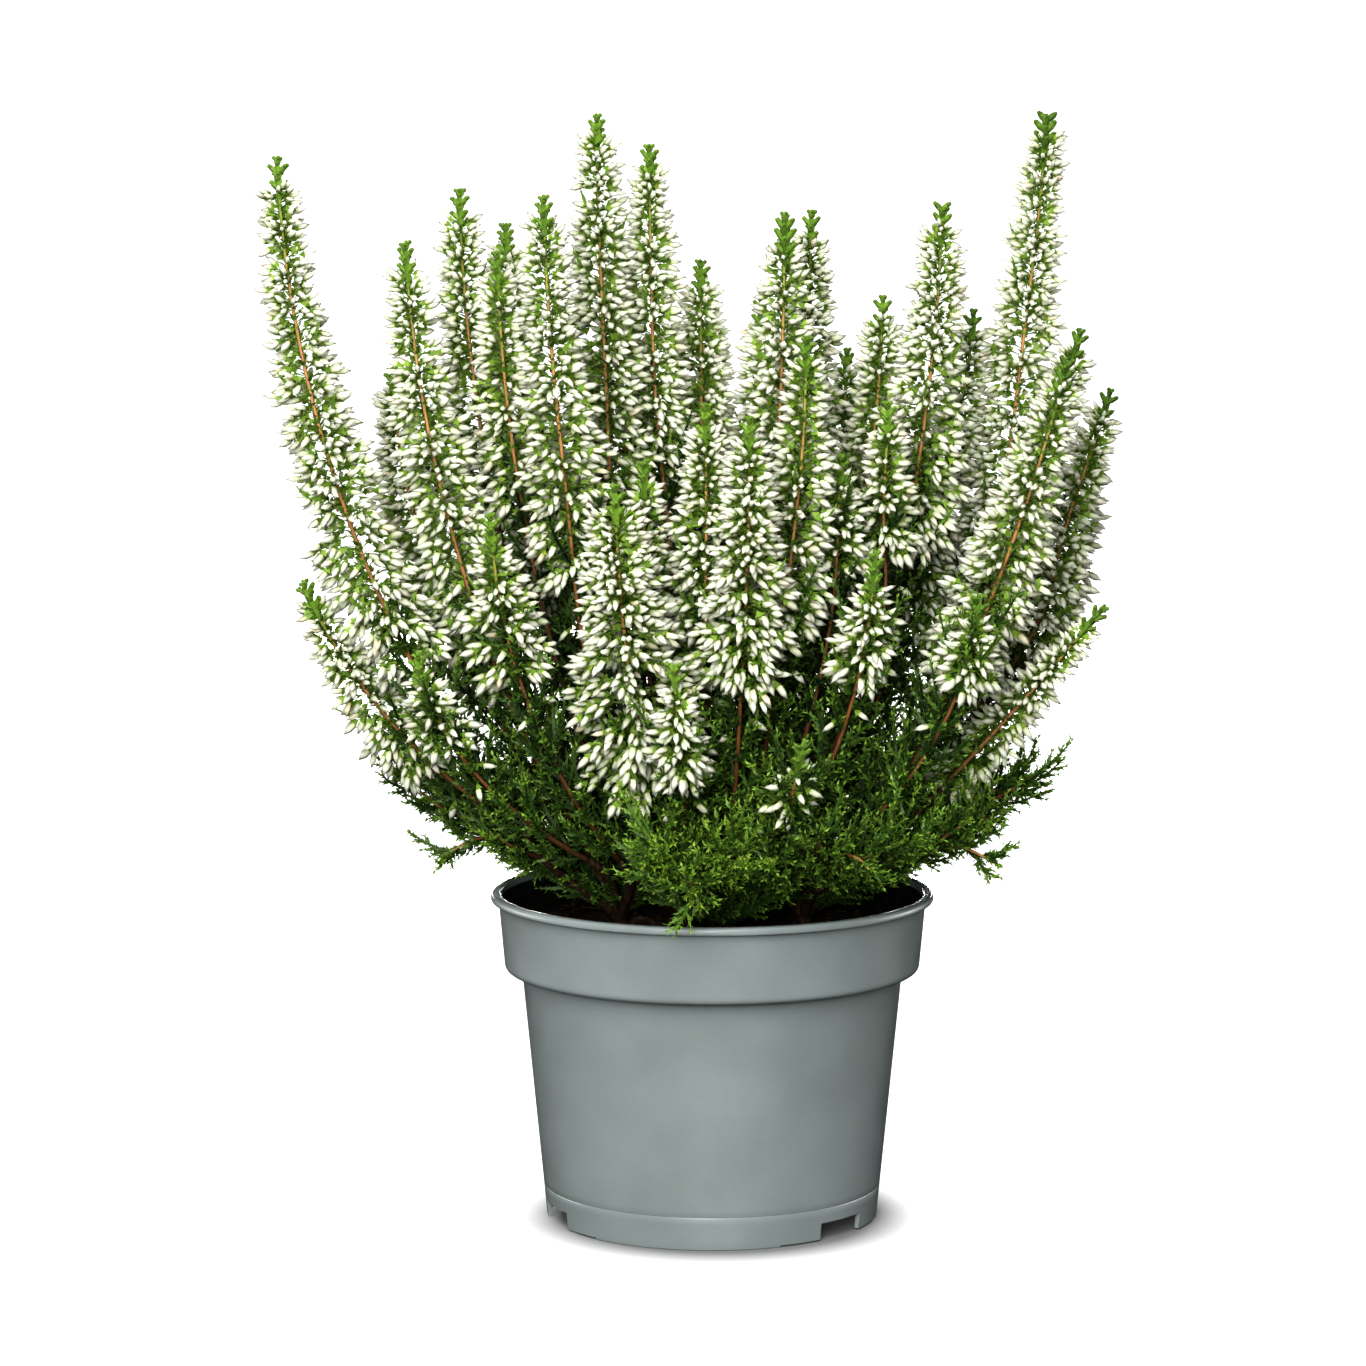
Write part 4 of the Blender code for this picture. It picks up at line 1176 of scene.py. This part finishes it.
def grow_rootstock(name, x, y, feet):
    """The trunk and a branch to the foot of each stem that it carries, as one piece."""
    growth = Growth()
    draw = np.random.default_rng(SEED + len(feet))

    def add_wood(path, step, radii, rough, sides):
        wood = Stem(np.array(path), step)
        girth = np.interp(wood.run / wood.length, *radii) * draw.uniform(*rough, len(wood.run))
        growth.add(wood.tube(wood.run, girth, sides), 0, 0.0)

    trunk = ((x, y, TRUNK_FOOT_Z), (x + 0.3, y, 76.0), (x, y + 0.2, FORK_Z), (x, y, FORK_Z + 3))
    add_wood(trunk, 0.8, TRUNK_RADII, (0.92, 1.08), 12)
    for foot, heading in feet:
        start = np.array((x, y, FORK_Z - 1.5))
        span = np.linalg.norm(foot - start)
        rising = start + np.array((0.25 * (foot[0] - x), 0.25 * (foot[1] - y), 0.2 * span))
        arriving = foot - heading * 0.4 * span
        add_wood(bezier(start, rising, arriving, foot, 8), 1.5, BRANCH_RADII, (0.93, 1.07), 8)
    hand_over(growth.make(f"{name}_wood", [BARK], (0,)), "bark", name)


# %% Young shoots from the rootstocks
# How many shoots rise and how many lie low, their tilts in degrees and their lengths
RISING = 34
RISING_TILTS = (8, 62)
RISING_LENGTHS = (38, 56)
SKIRT = 9
SKIRT_TILTS = (50, 68)
SKIRT_LENGTHS = (24, 46)
LONG_SHOOTS = dict(
    pitch=2.2, span=(0.15, 0.95), sizes=(8.5, 3.5), spread=(0.7, 1.15), lean=math.pi / 4, brighten=0.34
)


def grow_undergrowth(name, x, y):
    """Flowerless shoots that rise all round a rootstock, and a skirt of low ones towards the rim."""
    draw = np.random.default_rng(SEED + 200 + round(x) + 2 * round(y))
    green = Growth()
    skirt = np.repeat((False, True), (RISING, SKIRT))
    count = len(skirt)
    low_angle = draw.uniform(-1.2, 1.2, SKIRT) + math.atan2(y, x)
    angle = np.concatenate([GOLDEN * np.arange(RISING) + draw.normal(0, 0.3, RISING), low_angle])
    tilts = (draw.uniform(*RISING_TILTS, RISING), draw.uniform(*SKIRT_TILTS, SKIRT))
    tilt = np.radians(np.concatenate(tilts))
    out = np.stack([np.cos(angle), np.sin(angle), np.zeros(count)], axis=1)
    up = np.array((0.0, 0.0, 1.0))
    starts = np.array((x, y, FORK_Z + 1.0)) + 2.5 * out
    low_length = draw.uniform(*SKIRT_LENGTHS, count)
    length = np.where(skirt, low_length, draw.uniform(*RISING_LENGTHS, count) * np.cos(tilt) ** 0.4)
    bends = np.where(skirt, 0.22, 0.55)[:, None] * up
    # These shoots get low, dark tones, paler the further a shoot leans out: painted shade in the heart of the
    # bush
    shoots = Twigs(starts, around(tilt, up, out), bends, length, 0.13 + 0.15 * np.sin(tilt))
    green.add_cores(shoots, (0.1, 0.4, 0.75), (0.8, 0.75, 0.6), -0.1)
    clothe(green, shoots, 1.0, 2.1, 1.0, 0.4, draw)
    sides, _ = shoots.shoots(draw, **LONG_SHOOTS)
    green.add_cores(sides, (0.45,), (0.62,))
    clothe(green, sides, LEAF_GAP, LEAF_LENGTH, 1.0, 0.45, draw)
    hand_over(green.make(f"{name}_shoots", *GREENERY), "leafy_spray")


carried = {root: [] for root in ROOTS}
for path in stem_paths:
    heading = unit(path[1] - path[0])
    nearest = min(ROOTS, key=lambda root: math.dist(ROOTS[root], path[0, :2]))
    carried[nearest].append((path[0] + 0.5 * heading, heading))
for root, (x, y) in ROOTS.items():
    grow_rootstock(root, x, y, carried[root])
    grow_undergrowth(root, x, y)
print("rootstocks carry:", {root: len(feet) for root, feet in carried.items()})

# %% [markdown]
# ## The pot
#
# A thin nursery pot is moulded in one piece: a rolled lip, a collar that stiffens the rim, a tapered body and
# a foot with notches that let water out. Turning a profile round the axis makes it. Its corners are rounded
# in the profile first, because light catches a real moulding's soft edges.

# %% The pot's sizes
POT_HEIGHT = 89.0
RIM_RADIUS = 60.0
LIP_THICKNESS = 2.2
COLLAR_TOP_RADIUS = 57.9
COLLAR_FOOT_RADIUS = 56.2
COLLAR_FOOT_Z = 69.5
SHOULDER_Z = 67.2
BODY_TOP_RADIUS = 51.6
BASE_RADIUS = 45.0
WALL = 1.2
FLOOR_UNDER_Z = 5.4
FLOOR_THICKNESS = 1.4
NOTCH_CENTRES = (-40.0, 80.0, 200.0)
NOTCH_ANGLE = 21.0
DRAIN_RADIUS = 3.6
DRAIN_RING = 35.0
DRAIN_COUNT = 6
DRAIN_SIDES = 28
POT_SIDES = 144
PARTING_Z = 9.0
PARTING_HALF = 0.35
PARTING_DEPTH = 0.12
# A shallow step in the foot on either side of each notch
STEP_HEIGHT = 0.6
STEP_ANGLE = 16.0
# Cutters reach past what they cut, across the wall and through a floor
CUT_ACROSS = 8.0
CUT_PAST = 2.0
# Rings this far from an edge keep the shading of the long walls flat
HOLD = 2.0
SHARP_ANGLE = 32.0

lip_under = POT_HEIGHT - LIP_THICKNESS
collar_under = COLLAR_FOOT_Z - 1.4
floor_top = FLOOR_UNDER_Z + FLOOR_THICKNESS
collar_slope = (COLLAR_TOP_RADIUS - COLLAR_FOOT_RADIUS) / (lip_under - collar_under)


def body_radius(z):
    """Outer radius of the pot's straight body at a height."""
    return BASE_RADIUS + (BODY_TOP_RADIUS - BASE_RADIUS) * z / SHOULDER_Z


half_way = round(2 * body_radius(0.5 * POT_HEIGHT), 1)
print("pot, mm:", POT_HEIGHT, "high,", 2 * RIM_RADIUS, "across its rim and", half_way, "half way up")


# %% Round the corners of a profile
def rounded(corners):
    """A profile through corners of (radius, z, rounding)."""
    points = []
    befores = corners[-1:] + corners[:-1]
    afters = corners[1:] + corners[:1]
    for before, (radius, z, rounding), after in zip(befores, corners, afters):
        here = np.array((radius, z))
        if rounding == 0:
            points.append(here)
            continue
        back = unit(np.array(before[:2]) - here) * rounding
        ahead = unit(np.array(after[:2]) - here) * rounding
        for t in (0.0, 0.25, 0.5, 0.75, 1.0):
            points.append(here + (1 - t) ** 2 * back + t**2 * ahead)
    return points


def turned(profile, sides):
    """Points and faces of a profile turned round the axis; a radius of 0 closes it there."""
    points = []
    rings = []
    for radius, z in profile:
        if radius < 1e-6:
            rings.append([len(points)] * sides)
            points.append((0.0, 0.0, z))
            continue
        rings.append(list(range(len(points), len(points) + sides)))
        points += [(x, y, z) for x, y in ring(radius, sides)]
    faces = []
    for upper, lower in zip(rings, rings[1:] + rings[:1]):
        for side in range(sides):
            after = (side + 1) % sides
            corners = dict.fromkeys((upper[side], lower[side], lower[after], upper[after]))
            if len(corners) > 2:
                faces.append(list(corners))
    return points, faces


def plain_object(name, points, faces, material):
    mesh = bpy.data.meshes.new(name)
    mesh.from_pydata([tuple(MM * value for value in point) for point in points], [], faces)
    mesh.update()
    if material:
        mesh.materials.append(material)
    return placed(name, mesh)


print("points of a rounded square:", len(rounded([(1, 0, 0.2), (2, 0, 0.2), (2, 1, 0.2), (1, 1, 0.2)])))


# %% Cutters for the foot
def prism(outline, bottom, top):
    """Points and faces of an upright prism over an outline of (x, y)."""
    sides = len(outline)
    points = [(x, y, z) for z in (bottom, top) for x, y in outline]
    faces = [tuple(reversed(range(sides))), tuple(range(sides, 2 * sides))]
    for side in range(sides):
        after = (side + 1) % sides
        faces.append((side, after, sides + after, sides + side))
    return points, faces


def through_wall(centre, width, top):
    """A prism across the foot's wall, its angles in degrees."""
    outline = []
    for across, turn in ((-CUT_ACROSS, -0.5), (CUT_ACROSS, -0.5), (CUT_ACROSS, 0.5), (-CUT_ACROSS, 0.5)):
        angle = math.radians(centre + turn * width)
        radius = BASE_RADIUS + across
        outline.append((radius * math.cos(angle), radius * math.sin(angle)))
    return prism(outline, -CUT_PAST, top)


def cut_away(made, shapes):
    """Cuts separate shapes from the object with one applied Boolean."""
    points = []
    faces = []
    for more_points, more_faces in shapes:
        start = len(points)
        points += more_points
        faces += [tuple(start + corner for corner in face) for face in more_faces]
    cutter = plain_object("cutter", points, faces, None)
    boolean = made.modifiers.new("cut", "BOOLEAN")
    boolean.operation = "DIFFERENCE"
    boolean.object = cutter
    mesh = bpy.data.meshes.new_from_object(made.evaluated_get(bpy.context.evaluated_depsgraph_get()))
    made.modifiers.clear()
    made.data = mesh
    bpy.data.objects.remove(cutter)


print("faces of a notch cutter:", len(through_wall(0.0, NOTCH_ANGLE, FLOOR_UNDER_Z)[1]))


# %% Mould the pot
def pot_profile():
    """The pot's section, down the outside and back up the inside, with its corners rounded."""
    parting = body_radius(PARTING_Z)
    return rounded([
        (RIM_RADIUS - 0.05, POT_HEIGHT, 1.0),
        (RIM_RADIUS, lip_under + 0.1, 0.6),
        (COLLAR_TOP_RADIUS + 0.1, lip_under - 0.1, 0.5),
        (COLLAR_TOP_RADIUS - collar_slope * HOLD, lip_under - HOLD, 0.0),
        (COLLAR_FOOT_RADIUS + collar_slope * HOLD, collar_under + HOLD, 0.0),
        (COLLAR_FOOT_RADIUS, collar_under, 1.3),
        (BODY_TOP_RADIUS + 0.25, SHOULDER_Z + 0.1, 1.0),
        (body_radius(SHOULDER_Z - HOLD), SHOULDER_Z - HOLD, 0.0),
        (body_radius(PARTING_Z + HOLD), PARTING_Z + HOLD, 0.0),
        (parting + 0.03, PARTING_Z + PARTING_HALF, 0.0),
        (parting - PARTING_DEPTH, PARTING_Z, 0.0),
        (parting - 0.03, PARTING_Z - PARTING_HALF, 0.0),
        (body_radius(PARTING_Z - HOLD), PARTING_Z - HOLD, 0.0),
        (body_radius(HOLD), HOLD, 0.0),
        (BASE_RADIUS, 0.0, 0.35),
        (BASE_RADIUS - WALL, 0.0, 0.35),
        (body_radius(FLOOR_UNDER_Z) - WALL, FLOOR_UNDER_Z, 0.4),
        (0.0, FLOOR_UNDER_Z, 0.0),
        (0.0, floor_top, 0.0),
        (body_radius(floor_top) - WALL, floor_top, 0.8),
        (BODY_TOP_RADIUS - WALL, SHOULDER_Z + 1.0, 0.8),
        (COLLAR_FOOT_RADIUS - WALL, COLLAR_FOOT_Z + 1.0, 0.8),
        (COLLAR_TOP_RADIUS - WALL, lip_under, 0.6),
        (COLLAR_TOP_RADIUS - 0.5, POT_HEIGHT, 0.6),
    ])


def drain_outlines():
    """A hole in the middle of the floor and a ring of holes round it."""
    centres = [(0.0, 0.0)]
    for index in range(DRAIN_COUNT):
        angle = math.radians(NOTCH_CENTRES[0] + 360 * index / DRAIN_COUNT)
        centres.append((DRAIN_RING * math.cos(angle), DRAIN_RING * math.sin(angle)))
    return [[(x + dx, y + dy) for dx, dy in ring(DRAIN_RADIUS, DRAIN_SIDES)] for x, y in centres]


pot = plain_object("pot_shell", *turned(pot_profile(), POT_SIDES), PLASTIC)
step_angle = NOTCH_ANGLE + 2 * STEP_ANGLE
cut_away(pot, [through_wall(centre, NOTCH_ANGLE, FLOOR_UNDER_Z - 0.4) for centre in NOTCH_CENTRES])
cut_away(pot, [through_wall(centre, step_angle, STEP_HEIGHT) for centre in NOTCH_CENTRES])
drain_ends = (FLOOR_UNDER_Z - CUT_PAST, floor_top + CUT_PAST)
cut_away(pot, [prism(outline, *drain_ends) for outline in drain_outlines()])
# The inner wall from the shoulder to under the lip takes the dark finish: painted shade, with peat stains
pot.data.materials.append(SHADED_STAINED)
for face in pot.data.polygons:
    inward = face.normal.x * face.center.x + face.normal.y * face.center.y < 0
    if inward and SHOULDER_Z * MM < face.center.z < (lip_under + 1.0) * MM:
        face.material_index = 1
pot.data.shade_smooth()
pot.data.set_sharp_from_angle(angle=math.radians(SHARP_ANGLE))
hand_over(pot, "pot_plastic", "pot")
print("pot faces:", len(pot.data.polygons))

# %% [markdown]
# ## The peat
#
# The peat is nearly black and only a strip of it shows, but a smooth disc there would give the picture away.
# Its top is a fine grid with lumps in three sizes. Loose crumbs and root fibres lie on it.

# %% The lumpy top
SOIL_TOP = 79.5
SOIL_MOUND = ((14, 28, 42, 55), (1.0, 0.5, 0.0, -1.0))
SOIL_LUMP = 1.4
LUMPS_END = 52.0
SOIL_SIDES = 120
SOIL_RINGS = 46
SOIL_EDGE = COLLAR_FOOT_RADIUS + 1.0 - WALL - 0.35


def soil_height(x, y):
    """Height of the peat: mounded in the middle, with broad lumps and fine ones."""
    from_axis = np.hypot(x, y)
    share = np.clip(1 - (from_axis / LUMPS_END) ** 4, 0, 1)
    broad = np.sin(0.31 * x + 1.0) * np.cos(0.27 * y - 0.4) + 0.6 * np.sin(0.55 * (x + y))
    middle = 0.34 * np.sin(1.3 * x + 0.7 * y) * np.sin(0.9 * y - 0.5 * x + 2.0)
    fine = 0.20 * np.sin(3.1 * x + 0.4) * np.sin(2.7 * y + 1.1) + 0.12 * np.sin(5.3 * x - 4.1 * y)
    return SOIL_TOP + np.interp(from_axis, *SOIL_MOUND) + SOIL_LUMP * share * broad + middle + fine


def make_soil():
    """One closed body whose sides stay clear of the pot's wall and floor."""
    bottom = floor_top + 0.3
    profile = [(SOIL_EDGE * step / SOIL_RINGS, 0.0) for step in range(SOIL_RINGS + 1)]
    profile += [
        (COLLAR_FOOT_RADIUS - WALL - 0.6, COLLAR_FOOT_Z + 2.2),
        (BODY_TOP_RADIUS - WALL - 0.5, SHOULDER_Z + 1.6),
        (body_radius(bottom) - WALL - 0.5, bottom),
        (0.0, bottom),
    ]
    points, faces = turned(profile, SOIL_SIDES)
    points = np.array(points)
    top = points[:, 2] == 0.0
    points[top, 2] = soil_height(points[top, 0], points[top, 1])
    return plain_object("peat_body", points, faces, PEAT)


soil = make_soil()
soil.data.shade_smooth()
hand_over(soil, "peat", "soil")
print("peat faces:", len(soil.data.polygons))

# %% Crumbs and fibres
CRUMBS = 420
CRUMB_SIZES = (0.9, 2.6)
FIBRES = 110
FIBRE_LENGTHS = (4, 11)
LITTER_RADIUS = 53.0
FIBRE_END = 54.0
FIBRE_SHAPE = ((0.0, 0.3, 0.6, 0.9), (0.16, 0.2, 0.18, 0.1))


def strewn(count, lift, draw):
    """Even random places on the peat, and how far each is from the axis."""
    radius = LITTER_RADIUS * np.sqrt(draw.uniform(0, 1, count))
    angle = draw.uniform(0, 2 * math.pi, count)
    x = radius * np.cos(angle)
    y = radius * np.sin(angle)
    return np.stack([x, y, soil_height(x, y) + lift], axis=1), radius


def make_crumbs():
    """Loose crumbs and fibres on the peat, as one piece."""
    draw = np.random.default_rng(SEED + 300)
    growth = Growth()
    places, _ = strewn(CRUMBS, -0.2, draw)
    axes = unit(draw.normal(0, 1, (CRUMBS, 3)))
    sides = unit(np.cross(axes, draw.normal(0, 1, (CRUMBS, 3))))
    size = draw.uniform(*CRUMB_SIZES, CRUMBS)
    crumb = spindle(((0.42, 0.2), (0.5, 0.6)), 5)
    growth.add(copies(crumb, places, axes, sides, size, 0.9 * size), 0, 0.0)
    starts, radius = strewn(FIBRES, 0.1, draw)
    way = unit(np.stack([*draw.normal(0, 1, (2, FIBRES)), draw.uniform(-0.05, 0.25, FIBRES)], axis=1))
    bends = np.stack([*draw.normal(0, 0.5, (2, FIBRES)), np.full(FIBRES, -0.3)], axis=1)
    length = np.minimum(draw.uniform(*FIBRE_LENGTHS, FIBRES), np.maximum(1.5, FIBRE_END - radius))
    fibres = Twigs(starts, way, bends, length, np.zeros(FIBRES))
    growth.add(fibres.tubes(*FIBRE_SHAPE)[0], 1, 0.0)
    return growth.make("peat_crumbs", [PEAT, FIBRE], (0, 1))


hand_over(make_crumbs(), "peat")
print("pieces:", len(piece_count), "triangles in plant and crumbs:", sum(piece_count.values()))

# %% [markdown]
# ## The studio
#
# A catalogue picture stands its plant on a white table under soft lamps, in front of white. Here the floor
# glows by itself and the sky behind it is plain white, so no horizon shows from any side; near the pot the
# glow fades into a painted shadow. Neither may light the plant: black flags beside a real set do the same,
# and the depths between the stems stay dark.

# %% Floor
FLOOR_HALF = 12000.0
# Glow of the floor by metres from the pot's axis: none under the pot, full from 33 mm outside its foot; the
# dim ring between is a painted shadow
FLOOR_GLOW_AND_SHADOW = ((0.0, 0.0), (0.0420, 0.03), (0.047, 0.26), (0.054, 0.60), (0.062, 0.88), (0.078, 1.0))
GLOW_REACH = 0.1
# The painted shadow under the pot lies a little to the front and to the right of its axis
SHADOW_SHIFT = (1.5, -5.0, 0.0)


def make_floor():
    """A white floor that glows away from the pot; where the glow dims round the foot it paints the soft dark
    line under the pot, a painted shadow.
    """
    paper = Finish("white_floor", 0.9, 0.0)
    paper.colour(paper.ramp(paper.noise(6.0, 2.0), (0.3, (0.27, 0.27, 0.27)), (0.7, (0.28, 0.28, 0.28))))
    paper.inputs["Emission Strength"].default_value = 1.0
    place = paper.node("ShaderNodeTexCoord", {}).outputs["Object"]
    away = paper.node("ShaderNodeVectorMath", {})
    away.operation = "LENGTH"
    paper.tree.links.new(place, away.inputs[0])
    share = paper.stretched(away.outputs["Value"], 0.0, GLOW_REACH)
    stops = [(distance / GLOW_REACH, (light, light, light)) for distance, light in FLOOR_GLOW_AND_SHADOW]
    paper.link(paper.ramp(share, *stops), "Emission Color")
    corners = [(x * FLOOR_HALF, y * FLOOR_HALF, 0.0) for x, y in ((-1, -1), (1, -1), (1, 1), (-1, 1))]
    floor = plain_object("white_floor", corners, [(0, 1, 2, 3)], paper.material)
    floor.location = [MM * value for value in SHADOW_SHIFT]
    floor.visible_diffuse = False
    floor.visible_glossy = False
    return floor


make_floor()
print("floor, m:", round(2 * FLOOR_HALF * MM, 1), "across")


# %% Lamps
def soft_lamp(name, place, aim_height, size, power, gloss=1.0):
    """A lamp in metres and watts, aimed at a height on the pot's axis. gloss is its share of shine."""
    data = bpy.data.lights.new(name, "AREA")
    data.shape = "RECTANGLE"
    data.size, data.size_y = size
    data.energy = power
    data.specular_factor = gloss
    lamp = placed(name, data)
    lamp.location = place
    aim = unit(np.array((0.0, 0.0, aim_height)) - np.array(place))
    lamp.rotation_euler = (math.acos(-aim[2]), 0.0, math.atan2(aim[1], aim[0]) - 0.5 * math.pi)
    lamp.visible_camera = False


soft_lamp("key", (-0.10, -0.78, 0.70), 0.14, (0.6, 0.7), 9.0)
soft_lamp("front", (-0.18, -1.42, 0.32), 0.16, (0.4, 0.5), 11.5)
# The side and back lamps stand lower than the rim, so they don't flare on the inside of its lip
soft_lamp("left", (-1.10, 0.45, 0.07), 0.15, (0.7, 0.1), 4.6, 0.2)
soft_lamp("right", (1.10, 0.45, 0.07), 0.15, (0.7, 0.1), 4.6, 0.2)
soft_lamp("back", (0.0, 1.5, 0.07), 0.15, (0.9, 0.1), 22.0, 0.0)
world = bpy.data.worlds.new("studio")
world.use_nodes = True
world.node_tree.nodes["Background"].inputs["Color"].default_value = (1.0, 1.0, 1.0, 1.0)
world.node_tree.nodes["Background"].inputs["Strength"].default_value = 1.0
world.cycles_visibility.diffuse = False
world.cycles_visibility.glossy = False
bpy.context.scene.world = world
print("lamps, W:", {light.name: round(light.energy, 1) for light in bpy.data.lights})

# %% [markdown]
# ## The camera
#
# The picture was taken from a little above the flowers' middle, some way off, with a long lens. The pot's
# rim and base look like flat ellipses, and their widths and heights in the picture fix the camera's
# distance, height and tilt.

# %% Camera
PICTURE = 1366
FOCAL_PIXELS = 4577.0
SENSOR = 36.0
CAMERA_PLACE = (-7.9, -1226.5, 294.7)
CAMERA_TILT_DOWN = 6.93

lens = bpy.data.cameras.new("camera")
lens.sensor_width = SENSOR
lens.lens = FOCAL_PIXELS / PICTURE * SENSOR
lens.clip_start = 0.05
lens.clip_end = 20.0
camera = placed("camera", lens)
camera.location = [MM * value for value in CAMERA_PLACE]
camera.rotation_euler = (math.radians(90 - CAMERA_TILT_DOWN), 0.0, 0.0)
bpy.context.scene.camera = camera
bpy.context.scene.view_settings.view_transform = "Standard"
bpy.context.scene.view_settings.look = "High Contrast"
print("lens, mm:", round(lens.lens, 1))
